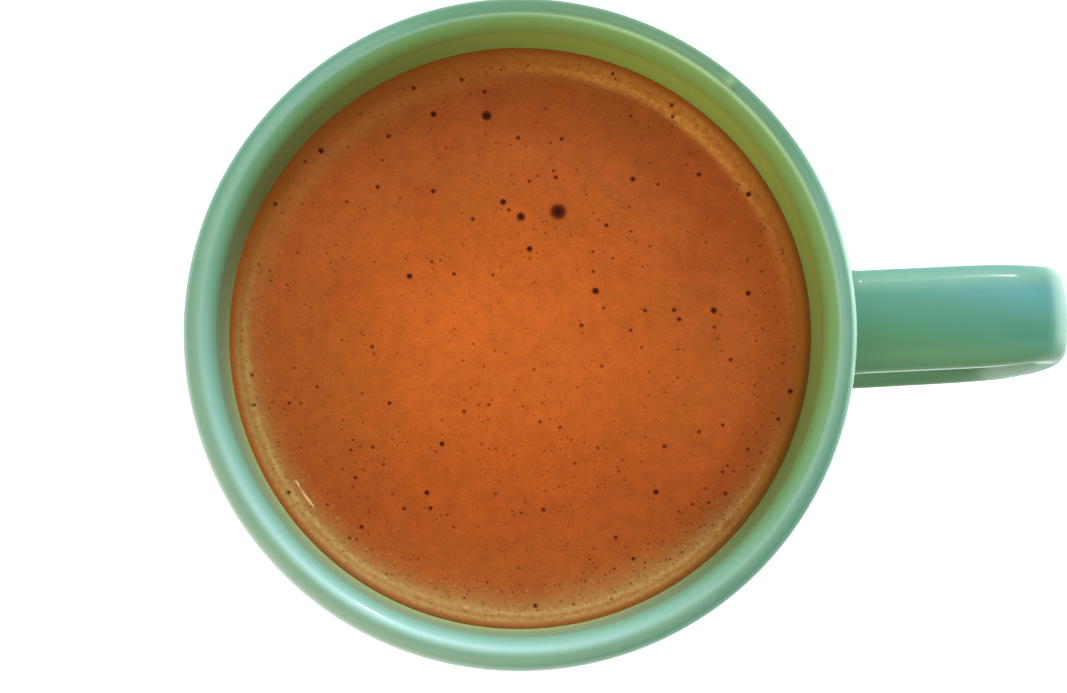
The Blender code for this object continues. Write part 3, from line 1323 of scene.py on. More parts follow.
            surface.join_rings(stack[::-1] if end == 1 else stack, flipped=True)

    def strap_tints(self, rings: np.ndarray) -> dict[str, np.ndarray]:
        """Where the strap's glaze is bluer, greener, paler or duller.

        The upper arm turns from a painted reflection of blue sky on its +Y side to painted
        green shade on the other, and the tint shifts with the distance from the cup. The lower
        arm is green with painted shade, the top bend pale with a painted reflection, and the
        -Y edge below the bend the dullest.

        Args:
            rings: The (rings, points of a ring, 3) places.

        Returns:
            The named values, from 0 to 1, and up to 1.2 for the dullness.
        """
        x, y, z = rings[..., 0], rings[..., 1], rings[..., 2]
        side = y / (self.strap_width / 2) + 0.45 * (x - 0.057) / 0.012
        low = 1 - smooth_step(z, self.height - 0.030, self.height - 0.022)
        bend = smooth_step(z, self.height - 0.022, self.height - 0.014)
        bend = bend * smooth_step(y, -0.0055, -0.0030)
        blue = 1 - smooth_step(self.height - z, 0.012, 0.034)
        blue = blue * (1 - 0.7 * smooth_step(y, 0.0060, 0.0066))
        edge = 1 - smooth_step(z, self.height - 0.020, self.height - 0.015)
        edge = smooth_step(-y, 0.0046, 0.0060) * edge
        return {
            "cool_side": smooth_step(side, -0.1, 0.8) * blue,
            "green_side": np.maximum(smooth_step(-side, 0.05, 1.0), 0.8 * low),
            "light_edge": 0.46 * smooth_step(x, 0.0676, 0.0702) * bend,
            "matt_wall": 0.20 + 1.0 * edge,
            "matt_side": np.full(x.shape, 0.60),
        }

    def strap_corner(self, ring: np.ndarray) -> np.ndarray:
        """How thin the glaze is on the strap's edges: most on the two at +Y.

        Args:
            ring: The section's (n, 2) points, as strap_ring gives them.

        Returns:
            A value from 0 to 1 for each point.
        """
        across = np.abs(ring[:, 0]) / (self.strap_width / 2)
        out = np.abs(ring[:, 1]) / (self.strap_thickness / 2)
        return 0.55 * smooth_step(across * out, 0.42, 0.66) * np.where(ring[:, 0] > 0, 1.0, 0.3)

    def opening_loops(self, body: np.ndarray) -> tuple[np.ndarray, np.ndarray]:
        """The point numbers round each opening, in the order of the strap's section.

        The top one is walked from its corner at +Y and up, first along its upper edge. The
        strap comes into the lower one upside down, so that one starts at +Y and down.

        Args:
            body: The numbers of the cup's points, as add_body gives them.

        Returns:
            The top opening's loop and the low one's.
        """
        half, tall = self.root_columns // 2, self.root_rows
        loops = []
        for first, flip in zip(self.root_first_rows(self.profile()), (False, True)):
            left = np.arange(half, -half, -1)
            down = np.arange(0, tall)
            level = np.concatenate([np.zeros(2 * half, int), down, np.full(2 * half, tall), tall - down])
            column = np.concatenate([left, np.full(tall, -half), -left, np.full(tall, half)])
            row = first + (tall - level if flip else level)
            loops.append(body[row, column % self.columns])
        return loops[0], loops[1]

    def fillet_rings(self, wall: np.ndarray, strap: np.ndarray, heading: np.ndarray,
                     entering: bool) -> np.ndarray:
        """Rings between a wall opening and the strap: cubic Hermite curves, tangent to both.

        A curve starts on the wall, at an even distance from the strap's foot where the opening
        leaves room. It leaves along the wall, towards the foot, and arrives along the strap.

        Args:
            wall: The opening's (n, 3) points.
            strap: The strap's end section, matched point by point.
            heading: The strap's direction (x, z) there.
            entering: Whether the strap heads into the wall.

        Returns:
            The (steps, n, 3) points between the two, the first ring on the wall.
        """
        axis = np.array([heading[0], 0.0, heading[1]]) * (-1.0 if entering else 1.0)
        normal = wall * np.array([1.0, 1.0, 0.0])
        normal /= np.linalg.norm(normal, axis=1, keepdims=True)
        gap = np.sum((strap - wall) * normal, axis=1) / (normal @ axis)
        foot = strap - axis * gap[:, None]
        outward = np.cross(np.roll(foot, -1, axis=0) - np.roll(foot, 1, axis=0), normal)
        outward /= np.linalg.norm(outward, axis=1, keepdims=True)
        outward *= np.sign(np.sum(outward * (foot - foot.mean(axis=0)), axis=1, keepdims=True))
        margin = np.sum((wall - foot) * outward, axis=1, keepdims=True)
        near = foot + outward * np.minimum(self.fillet_reach, 0.85 * margin)
        angle = np.arctan2(near[:, 1], near[:, 0])
        radius = np.hypot(wall[:, 0], wall[:, 1]) + self.outer_taper * (near[:, 2] - wall[:, 2])
        wall = turned_places(radius, angle, near[:, 2])
        leave = foot - wall
        reach = np.linalg.norm(leave, axis=1, keepdims=True)
        rise = np.linalg.norm(strap - foot, axis=1, keepdims=True)
        leave = leave / reach * (0.6 * reach + 0.8 * rise)
        arrive = axis * (0.6 * rise + 0.8 * reach)
        share = np.linspace(0.0, 1.0, self.fillet_steps + 1)[:-1, None, None]
        square, cube = share**2, share**3
        return ((2 * cube - 3 * square + 1) * wall + (cube - 2 * square + share) * leave
                + (3 * square - 2 * cube) * strap + (cube - square) * arrive)

    def build(self, glaze: bpy.types.Material, clay: bpy.types.Material) -> bpy.types.Object:
        """Builds the mug and dresses it.

        Args:
            glaze: The finish of all that is glazed.
            clay: The finish of the bare base.

        Returns:
            The piece.
        """
        surface = Surface()
        body = self.add_body(surface)
        self.add_handle(surface, body)
        piece = surface.make("glazed_mug")
        piece.data.materials.append(glaze)
        piece.data.materials.append(clay)
        middles = np.empty(3 * len(piece.data.polygons), np.float32)
        piece.data.polygons.foreach_get("center", middles)
        middles = middles.reshape(-1, 3)
        bare = (np.hypot(middles[:, 0], middles[:, 1]) < self.glaze_end) & (middles[:, 2] < 0.003)
        piece.data.polygons.foreach_set("material_index", bare.astype(np.int32))
        return piece


# ---------------- the drink


@dataclass(frozen=True)
class Bubbles:
    """Bubbles of one kind in the froth.

    Attributes:
        places: The (n, 2) middles (x, y).
        radii: Their (n,) radii.
    """

    places: np.ndarray
    radii: np.ndarray


@dataclass(frozen=True)
class FrothColours:
    """How the drink's colour varies, as a value from 0 to 1 at each point of its surface.

    An uneven line runs round the drink, about 2 mm from the wall. Foam lies on both sides of
    it, thickest towards -Y, and fades towards the middle. The dark edge at the wall and the
    dark bubbles are painted shade, and the bright rim line is painted light.

    Attributes:
        depth: Distance of each point from the wall.
        angle: Its angle round Z.
        hole_share: Its distance to the nearest open bubble, in that bubble's radii.
        hole_size: That bubble's radius.
        dome_share: Its distance to the nearest dome, in that dome's radii.
    """

    depth: np.ndarray
    angle: np.ndarray
    hole_share: np.ndarray
    hole_size: np.ndarray
    dome_share: np.ndarray
    heavy_turn: float = 248.0
    light_side: Sector = Sector(145, 60)
    wide_side: Sector = Sector(285, 32)
    foam_end: Sector = Sector(308, 24)
    outer_end: Sector = Sector(200, 35)
    line_end: Sector = Sector(195, 28)
    sunlit_side: Sector = Sector(56, 36)
    sunlit_end: Sector = Sector(115, 45)
    wide_contact: Sector = Sector(-30, 32)
    shaded_contact: Sector = Sector(-22, 48)
    foam_contact: Sector = Sector(245, 50)
    shaded_side: Sector = Sector(-36, 24)
    line_depth: float = 0.00203
    line_width: float = 0.00024
    second_line: float = 0.00095
    second_width: float = 0.00018

    def heavy(self) -> np.ndarray:
        """Where the foam is heavy, round the side at -Y."""
        return smooth_step(facing(self.angle, self.heavy_turn), 0.40, 0.93)

    def uneven(self) -> np.ndarray:
        """What makes the bands uneven round the cup, between about -1 and 1."""
        return wave(self.angle, (3, 7, 12, 19), np.random.default_rng(17))

    def line(self) -> np.ndarray:
        """The foam line's distance from the wall, at each point's angle."""
        return self.line_depth + 0.00013 * np.sin(self.angle) + 0.00007 * self.uneven()

    def foam(self) -> np.ndarray:
        """Milk foam: a fading band inside the line, a plain one outside it, and the domes.

        Inside, it is exp(-(distance / fade)^1.7) of the distance from the line.

        Returns:
            The foam's share at each point.
        """
        heavy, line = self.heavy(), self.line()
        light = self.light_side.share(self.angle)
        wide = self.wide_side.share(self.angle)
        fade = 0.0009 + 0.0006 * heavy + 0.0008 * wide * (1 + 0.3 * self.uneven())
        inner = 0.04 + 0.60 * heavy + 0.12 * self.foam_end.share(self.angle)
        inner = inner * np.exp(-np.abs((self.depth - line) / fade) ** 1.7) * (self.depth > line)
        inner = np.maximum(inner, 0.18 * light * bell(self.depth - line, 0.0010, 0.0012))
        outer = 0.04 + 0.62 * heavy + 0.12 * light + 0.30 * self.outer_end.share(self.angle)
        outer = np.clip(outer * (self.depth <= line), 0.0, 0.75)
        outer = outer * smooth_step(self.depth, 0.0002, 0.0009)
        domes = 0.5 * heavy * (self.dome_share < 0.9) * (self.depth < 0.006)
        return np.maximum(np.maximum(inner, outer), domes)

    def foam_line(self) -> np.ndarray:
        """The line of thicker foam, and a fainter one between it and the wall.

        Returns:
            The lines' strength at each point.
        """
        heavy, beyond = self.heavy(), self.depth - self.line()
        strength = np.clip(0.85 * heavy + 0.40 * self.line_end.share(self.angle), 0.0, 0.9)
        second = 0.45 * heavy * bell(beyond, -self.second_line, self.second_width)
        return np.maximum(strength * bell(beyond, 0.0, self.line_width), second)

    def wall_band(self) -> np.ndarray:
        """A darker band between the line and the wall, faint where there is foam.

        Returns:
            The band's strength at each point.
        """
        light, line = self.light_side.share(self.angle), self.line()
        band = 0.8 * (1 - smooth_step(self.depth, line - 0.0008, line + 0.0001 - 0.0004 * light))
        return band * (1 - 0.7 * self.heavy()) * (1 - 0.35 * light)

    def bright_rim(self) -> np.ndarray:
        """Painted light: a bright orange line and the band outside it, on the side between +X and +Y.

        Returns:
            The brightness at each point.
        """
        line = self.line()
        sunlit = self.sunlit_side.share(self.angle) * (1 + 0.12 * self.uneven())
        rim_line = 0.95 * bell(self.depth - line, 0.0003, 0.00054)
        plateau = 0.45 * (self.depth < line) * smooth_step(self.depth, 0.0003, 0.0011)
        end = 0.16 * self.sunlit_end.share(self.angle) * bell(self.depth - line, 0.0009, 0.0012)
        return np.clip(np.maximum(sunlit * np.maximum(rim_line, plateau), end), 0.0, 1.0)

    def contact(self) -> np.ndarray:
        """Painted shade: the dark edge where the drink meets the wall.

        Returns:
            The edge's strength at each point.
        """
        strength = 0.08 + 0.80 * self.shaded_contact.share(self.angle)
        strength = strength + 0.55 * self.foam_contact.share(self.angle)
        width = 0.0007 + 0.0008 * self.wide_contact.share(self.angle)
        return strength * (1 - smooth_step(self.depth, 0.0001, width))

    def bubble(self) -> np.ndarray:
        """Painted shade inside the open bubbles' pits, the larger the darker."""
        dark = smooth_step(self.hole_size, 0.00006, 0.00034)
        return (0.34 + 0.66 * dark) * (1 - smooth_step(self.hole_share, 0.35, 1.5))

    def shaded_froth(self) -> np.ndarray:
        """The froth by the wall on the side between +X and -Y, which is darker."""
        shaded = self.shaded_side.share(self.angle) * (1 - smooth_step(self.depth, 0.0030, 0.0085))
        return np.clip(shaded * (1 + 0.15 * self.uneven()), 0.0, 1.0)

    def values(self) -> dict[str, np.ndarray]:
        """All of these under the names that the tea's finish reads.

        Returns:
            The named values.
        """
        return {
            "foam": self.foam(),
            "foam_line": self.foam_line(),
            "wall_band": self.wall_band(),
            "bright_rim": self.bright_rim(),
            "contact": self.contact(),
            "bubble": self.bubble(),
            "shaded_froth": self.shaded_froth(),
        }


@dataclass
class Drink:
    """Milky tea that fills the cup: level in the middle, drawn up the wall, frothy and pitted.

    The surface's height is level + rise * exp(-d / length) at a distance d from the wall,
    less a bowl for each open bubble, plus a dome for each whole one. Its points are a polar
    grid that is finer near the wall, and rings round every bubble, joined by triangles.
    """

    mug: Mug
    rise: float = 0.0017
    length: float = 0.0019
    into_wall: float = 0.00015
    columns: int = 384
    fine_rings: int = 8
    # Distances from the wall of the rings of points near it, in millimetres.
    wall_rings_mm: tuple[float, ...] = (0.1, 0.25, 0.45, 0.7, 1.0, 1.35, 1.75, 2.2, 2.7, 3.3, 4.0, 4.8)
    middle_gap: float = 0.0009
    middle_step: float = 0.00115
    side_step: float = 0.008
    # Middle (along X) and reach of the painted light that keeps the drink's middle brighter.
    froth_middle: float = -0.0040
    froth_reach: float = 0.0170
    # Shares of a bubble's radius: how deep it is, and its lip's height, place and width.
    bowl_depth: float = 0.55
    bowl_lip: float = 0.05
    lip_place: float = 1.1
    lip_width: float = 0.12
    # x, y and radius of the largest open bubbles, in millimetres.
    large_mm: tuple[tuple[float, float, float], ...] = (
        (5.6, 15.8, 0.97), (-3.0, 28.7, 0.60), (0.8, 15.4, 0.52), (-1.4, 17.4, 0.38),
        (24.9, 2.2, 0.40), (9.9, 5.4, 0.43), (-9.8, 29.2, 0.36), (-13.8, 8.4, 0.36),
        (1.7, 11.2, 0.36), (-24.4, 25.0, 0.35), (30.1, 16.9, 0.32), (16.3, -20.6, 0.34),
        (-10.6, -13.2, 0.31), (29.4, 4.2, 0.33), (-10.3, 19.2, 0.29), (34.0, -8.6, 0.30),
        (15.4, 19.6, 0.32), (-12.8, -19.3, 0.32), (23.9, 19.8, 0.28), (19.8, 2.5, 0.28),
        (20.4, 1.3, 0.28), (0.3, -34.2, 0.28), (6.5, 25.2, 0.26), (-3.1, 31.8, 0.26),
        (-12.2, 32.6, 0.26), (-5.4, 15.4, 0.26), (-17.4, 20.1, 0.26), (-30.0, 20.0, 0.26),
        (20.9, 27.4, 0.26), (11.7, 13.8, 0.26), (26.7, -4.2, 0.26), (22.2, -13.2, 0.24),
        (-7.6, -9.2, 0.24), (-12.4, -21.3, 0.26), (-15.7, 26.6, 0.26), (16.1, 2.6, 0.26),
    )
    # x, y and radius in millimetres of redder spots, and their strength.
    red_mm: tuple[tuple[float, float, float, float], ...] = (
        (26.0, 13.6, 1.3, 0.9), (24.6, 15.0, 0.8, 0.6), (9.6, 13.0, 0.9, 0.6), (13.0, 8.1, 0.8, 0.5),
        (3.0, 27.5, 1.6, 0.5), (-8.0, 24.5, 2.2, 0.35), (21.0, 18.0, 2.6, 0.35),
    )
    # Middle (along Y), width and strength of the redder band.
    red_band: tuple[float, float, float] = (-0.021, 0.009, 0.45)
    # Ends (x, y) of the long painted glint, and its rows of points, in millimetres.
    streak_mm: tuple[tuple[float, float], tuple[float, float]] = ((-29.3, -16.9), (-27.2, -20.3))
    streak_rows_mm: tuple[float, ...] = (-0.24, -0.09, 0.0, 0.09, 0.24)
    streak_steps: int = 48
    streak_bulge: float = 0.10
    streak_width: float = 0.00009
    streak_clearing: float = 0.0004
    # Strings of pin bubbles: where they start, how they run, and how far a bubble lies off.
    strings: int = 70
    string_middle: tuple[float, float] = (-0.002, 0.006)
    string_spread: float = 0.031
    string_counts: tuple[int, int] = (4, 11)
    string_steps: tuple[float, float] = (0.0005, 0.0016)
    string_bend: float = 0.5
    string_scatter: float = 0.00015
    loose_pins: int = 560
    loose_area: float = 0.93
    ring_pins: int = 300
    ring_depths: tuple[float, float] = (0.0014, 0.0065)
    ring_side: Sector = Sector(292, 52)
    pin_radius: float = 0.000115
    pin_variation: float = 0.33
    pin_limits: tuple[float, float] = (0.00007, 0.00026)
    domes: int = 460
    dome_depths: tuple[float, float] = (0.0012, 0.0048)
    dome_side: Sector = Sector(250, 70)
    dome_radius: float = 0.00016
    dome_variation: float = 0.4
    dome_limits: tuple[float, float] = (0.00008, 0.00042)
    dome_height: float = 0.42
    # How far bubbles stay off the wall, and two middles from each other in sums of radii.
    wall_clearing: float = 0.0008
    bubble_gap: float = 1.35
    # The bare surface's points nearer to a bubble than this, in its radii, are left out.
    bubble_clearing: float = 1.5

    def wall_radius(self) -> float:
        """Radius of the cup's wall at the drink's edge."""
        return self.mug.inner_radius(self.mug.height - self.mug.drink_depth + self.rise)

    def level(self) -> float:
        """Height of the surface away from the wall."""
        return self.mug.height - self.mug.drink_depth

    def strung_places(self, rng: np.random.Generator) -> list[np.ndarray]:
        """Places of the pin bubbles that lie in strings.

        A string's steps turn by the same small angle each time, and each bubble lies a
        little off it.

        Args:
            rng: Draws them.

        Returns:
            An (n, 2) array for each string.
        """
        starts = rng.uniform(-self.string_spread, self.string_spread, (self.strings, 2))
        starts = starts + np.array(self.string_middle)
        counts = rng.integers(*self.string_counts, self.strings)
        headings = rng.uniform(0.0, FULL_TURN, self.strings)
        bends = rng.uniform(-self.string_bend, self.string_bend, self.strings)
        places = []
        for start, count, heading, bend in zip(starts, counts, headings, bends):
            lengths = rng.uniform(*self.string_steps, count)
            steps = on_circles(lengths, heading + bend * np.arange(count))
            off = rng.normal(0.0, self.string_scatter, (count, 2))
            places.append(start + np.cumsum(steps, axis=0) + off)
        return places

    def scatter(self) -> tuple[Bubbles, Bubbles]:
        """Draws the places and sizes of the bubbles.

        The largest are given. Pin bubbles lie in short crooked strings, loose over the
        surface, and thick in the foam ring. Domes are whole bubbles in that ring. A bubble
        that would cross one already placed is dropped.

        Returns:
            The open bubbles and the domes.
        """
        rng = np.random.default_rng(29)
        edge = self.wall_radius()
        large = np.array(self.large_mm) * MM
        strung = self.strung_places(rng)
        loose_radius = edge * np.sqrt(rng.uniform(0.0, self.loose_area, self.loose_pins))
        loose = on_circles(loose_radius, rng.uniform(0.0, FULL_TURN, self.loose_pins))
        ring_depth = rng.uniform(*self.ring_depths, self.ring_pins)
        ring = on_circles(edge - ring_depth, self.ring_side.draw(rng, self.ring_pins))
        places = np.concatenate([large[:, :2], *strung, loose, ring])
        drawn = rng.lognormal(math.log(self.pin_radius), self.pin_variation, len(places) - len(large))
        radii = np.concatenate([large[:, 2], np.clip(drawn, *self.pin_limits)])
        dome_depth = rng.uniform(*self.dome_depths, self.domes)
        dome_places = on_circles(edge - dome_depth, self.dome_side.draw(rng, self.domes))
        dome_sizes = rng.lognormal(math.log(self.dome_radius), self.dome_variation, self.domes)
        everywhere = np.concatenate([places, dome_places])
        sizes = np.concatenate([radii, np.clip(dome_sizes, *self.dome_limits)])
        inside = np.hypot(everywhere[:, 0], everywhere[:, 1]) < edge - self.wall_clearing - sizes
        gap = np.hypot(*(everywhere[:, None] - everywhere[None]).transpose(2, 0, 1))
        crossing = gap < self.bubble_gap * (sizes[:, None] + sizes[None])
        kept = inside & ~np.tril(crossing, -1).any(axis=1)
        is_dome = np.arange(len(everywhere)) >= len(places)
        return (Bubbles(everywhere[kept & ~is_dome], sizes[kept & ~is_dome]),
                Bubbles(everywhere[kept & is_dome], sizes[kept & is_dome]))

    @staticmethod
    def bubble_points(bubbles: Bubbles) -> np.ndarray:
        """Rings of points round each bubble, closest together at its edge.

        Each ring is a circle at a set share of the bubble's radius. Large bubbles get more
        points on a ring than small ones.

        Args:
            bubbles: The bubbles.

        Returns:
            The (n, 2) points, the bubbles' middles first.
        """
        parts = [bubbles.places]
        few, many = (0.5, 0.85, 1.1, 1.5), (0.35, 0.65, 0.85, 0.97, 1.1, 1.3, 1.6)
        # Radii from and up to, points of a ring, and the rings' shares of the radius.
        classes = ((0.0, 0.0002, 8, few), (0.0002, 0.00035, 14, many), (0.00035, 1.0, 26, many))
        for low, high, steps, shares in classes:
            chosen = (bubbles.radii >= low) & (bubbles.radii < high)
            for index, share in enumerate(shares):
                circle = on_circles(share, even_angles(steps, 0.5 * (index % 2)))
                ring = bubbles.places[chosen, None] + bubbles.radii[chosen, None, None] * circle
                parts.append(ring.reshape(-1, 2))
        return np.concatenate(parts)

    def polar_points(self) -> np.ndarray:
        """Points of the bare surface: rings with even spacing, closer together near the wall.

        Returns:
            The (n, 2) points.
        """
        edge = self.wall_radius()
        near_wall = edge - np.array(self.wall_rings_mm) * MM
        middle = np.arange(near_wall[-1] - self.middle_gap, 0.0, -self.middle_step)
        parts = []
        for index, radius in enumerate(np.concatenate([near_wall, middle])):
            fine = index < self.fine_rings
            steps = self.columns if fine else max(6, int(FULL_TURN * radius / self.middle_step))
            parts.append(on_circles(radius, even_angles(steps, 0.5 * (index % 2))))
        return np.concatenate(parts)

    def edge_ring(self) -> np.ndarray:
        """The surface's outermost ring, just inside the cup's wall."""
        return on_circles(self.wall_radius() + self.into_wall, even_angles(self.columns))

    @staticmethod
    def nearest(points: np.ndarray, bubbles: Bubbles) -> tuple[np.ndarray, np.ndarray]:
        """Finds each point's closest bubble, by the distance in that bubble's radii.

        Args:
            points: The (n, 2) points, which are worked through in blocks to save memory.
            bubbles: The bubbles.

        Returns:
            The bubbles' numbers and the distances, an (n,) array each.
        """
        best = np.full(len(points), np.inf)
        which = np.zeros(len(points), int)
        for start in range(0, len(points), POINTS_AT_ONCE):
            block = slice(start, start + POINTS_AT_ONCE)
            part = points[block]
            gap = np.hypot(part[:, None, 0] - bubbles.places[None, :, 0],
                           part[:, None, 1] - bubbles.places[None, :, 1]) / bubbles.radii[None]
            which[block] = gap.argmin(axis=1)
            best[block] = gap.min(axis=1)
        return which, best

    def flat_points(self, holes: Bubbles, domes: Bubbles) -> np.ndarray:
        """All the points of the upper surface, seen from above.

        Args:
            holes: The open bubbles.
            domes: The whole ones.

        Returns:
            The (n, 2) points, with the bare surface's left out where others take their place.
        """
        bare = self.polar_points()
        clear = self.beside_streak(bare) > self.streak_clearing
        for bubbles in (holes, domes):
            clear &= self.nearest(bare, bubbles)[1] > self.bubble_clearing
        return np.concatenate([
            self.edge_ring(),
            bare[clear],
            self.bubble_points(holes),
            self.bubble_points(domes),
            self.streak_points(),
        ])

    def top_surface(self) -> tuple[np.ndarray, np.ndarray, dict[str, np.ndarray]]:
        """The whole upper surface, from the middle to just inside the wall.

        A bowl is 1 - share^4 of a share of the bubble's radius, with a low bell curve as its
        lip, and a dome 1 - share^2.

        Returns:
            Its (n, 3) points, its triangles, and the named values of its points.
        """
        holes, domes = self.scatter()
        made = delaunay_2d_cdt(self.flat_points(holes, domes).tolist(), [], [], 0, 1e-7)
        points = np.array([tuple(point) for point in made[0]])
        triangles = np.array(made[2])
        log.info("drink: %d open bubbles, %d domes", len(holes.radii), len(domes.radii))
        depth = np.maximum(self.wall_radius() - np.hypot(points[:, 0], points[:, 1]), 0.0)
        z = self.level() + self.rise * np.exp(-depth / self.length)
        hole, share = self.nearest(points, holes)
        size = holes.radii[hole]
        bowl = np.clip(1 - share**4, 0.0, 1.0)
        lip = self.bowl_lip * bell(share, self.lip_place, self.lip_width)
        z += size * (lip - self.bowl_depth * bowl)
        dome, dome_share = self.nearest(points, domes)
        z += domes.radii[dome] * self.dome_height * np.clip(1 - dome_share**2, 0.0, 1.0)
        angle = np.arctan2(points[:, 1], points[:, 0])
        values = FrothColours(depth, angle, share, size, dome_share).values()
        # Painted light: the drink's middle is kept brighter, and its colour dims towards the wall.
        away = (points[:, 0] - self.froth_middle) ** 2 + points[:, 1] ** 2
        values["thick_froth"] = np.exp(-away / self.froth_reach**2)
        values["red_froth"] = self.red_patches(points)
        values["streak"] = bell(self.beside_streak(points), 0.0, self.streak_width)
        return np.column_stack([points, z]), triangles, values

    def streak_path(self) -> np.ndarray:
        """Points along the one long painted glint: a shallow arc between its two ends.

        Returns:
            The (n, 2) points.
        """
        share = np.linspace(0.0, 1.0, self.streak_steps)[:, None]
        start, end = np.array(self.streak_mm) * MM
        across = np.array([start[1] - end[1], end[0] - start[0]])
        return start + (end - start) * share - across * self.streak_bulge * share * (1 - share)

    def streak_points(self) -> np.ndarray:
        """Five rows of points along the streak, so that its edges are sharp.

        Returns:
            The (n, 2) points.
        """
        path = self.streak_path()
        along = np.gradient(path, axis=0)
        length = np.hypot(along[:, 0], along[:, 1])[:, None]
        side = np.stack([-along[:, 1], along[:, 0]], axis=1) / length
        offsets = np.array(self.streak_rows_mm)[:, None, None] * MM
        return (path + offsets * side).reshape(-1, 2)

    def beside_streak(self, points: np.ndarray) -> np.ndarray:
        """Distance of each point from the streak, worked out only within 5 mm of its middle.

        Args:
            points: The (n, 2) points.

        Returns:
            The distances, and 1 m for the points farther off.
        """
        path = self.streak_path()
        middle = path[self.streak_steps // 2]
        near = np.hypot(points[:, 0] - middle[0], points[:, 1] - middle[1]) < 0.005
        away = np.full(len(points), 1.0)
        away[near] = np.hypot(*(points[near][:, None] - path[None]).transpose(2, 0, 1)).min(axis=1)
        return away

    def red_patches(self, points: np.ndarray) -> np.ndarray:
        """Where the froth is redder: a few spots where it is thin, and a darker, redder band towards -Y.

        Args:
            points: The (n, 2) points.

        Returns:
            A value from 0 to 1 for each.
        """
        middle, width, strength = self.red_band
        red = strength * bell(points[:, 1], middle, width)
        for x, y, radius, strength in np.array(self.red_mm):
            away = np.hypot(points[:, 0] - x * MM, points[:, 1] - y * MM) / (radius * MM)
            red = np.maximum(red, strength * np.exp(-away**2))
        return red

    def add_sides(self, surface: Surface, ring: np.ndarray, ring_z: np.ndarray) -> None:
        """Closes the drink down the wall and over the cup's floor.

        The profile follows the cup's inside, a hair within the wall.

        Args:
            surface: What holds the upper surface.
            ring: The numbers of the upper surface's outermost points, by angle.
            ring_z: Their heights.
        """
        mug = self.mug
        floor = mug.floor_thickness - self.into_wall
        outline = rounded([
            Corner(self.wall_radius() + self.into_wall, float(ring_z.mean())),
            Corner(mug.inner_radius(floor) + self.into_wall, floor, mug.inner_corner, 8),
            Corner(0.0, floor),
        ])
        profile = subdivided(outline, lambda middle: self.side_step)[1:-1]
        number = surface.add_grid(turned_places(*turned_grid(profile, self.columns)), contact=1.0)
        surface.join_rings(np.concatenate([ring[None], number]))
        surface.add_fan(number[-1], (0.0, 0.0, floor), facing_down=True, contact=1.0)

    def build(self, tea: bpy.types.Material) -> bpy.types.Object:
        """Builds the drink and dresses it.

        Args:
            tea: Its finish.

        Returns:
            The piece.
        """
        points, triangles, values = self.top_surface()
        corner = points[triangles]
        edge_one, edge_two = corner[:, 1] - corner[:, 0], corner[:, 2] - corner[:, 0]
        turn = edge_one[:, 0] * edge_two[:, 1] - edge_one[:, 1] * edge_two[:, 0]
        triangles = np.where(turn[:, None] > 0, triangles, triangles[:, ::-1])
        surface = Surface()
        surface.add_points(points, **values)
        surface.triangles.append(triangles)
        radius = np.hypot(points[:, 0], points[:, 1])
        ring = np.nonzero(radius > self.wall_radius() + 0.5 * self.into_wall)[0]
        around = np.mod(np.arctan2(points[ring, 1], points[ring, 0]) + 1e-6, FULL_TURN)
        ring = ring[np.argsort(around)]
        self.add_sides(surface, ring, points[ring, 2])
        piece = surface.make("frothy_chai")
        piece.data.materials.append(tea)
        return piece


# ---------------- floor, light and camera


def unit_direction(turn: float, height: float) -> tuple[float, float, float]:
    """The unit direction at two angles, in degrees.

    Args:
        turn: The angle round Z from +X.
        height: The angle above the floor.

    Returns:
        The direction (x, y, z).
    """
    around, up = math.radians(turn), math.radians(height)
    return math.cos(up) * math.cos(around), math.cos(up) * math.sin(around), math.sin(up)


@dataclass(frozen=True)
class Glow:
    """A soft round light in the sky.

    Attributes:
        turn: Its angle round Z from +X, in degrees.
        height: Its angle above the floor, in degrees.
        sharpness: How narrow it is: the power of a cosine.
        colour: Its colour.
        power: Its strength.
    """

    turn: float
    height: float
    sharpness: float
    colour: RGB
    power: float


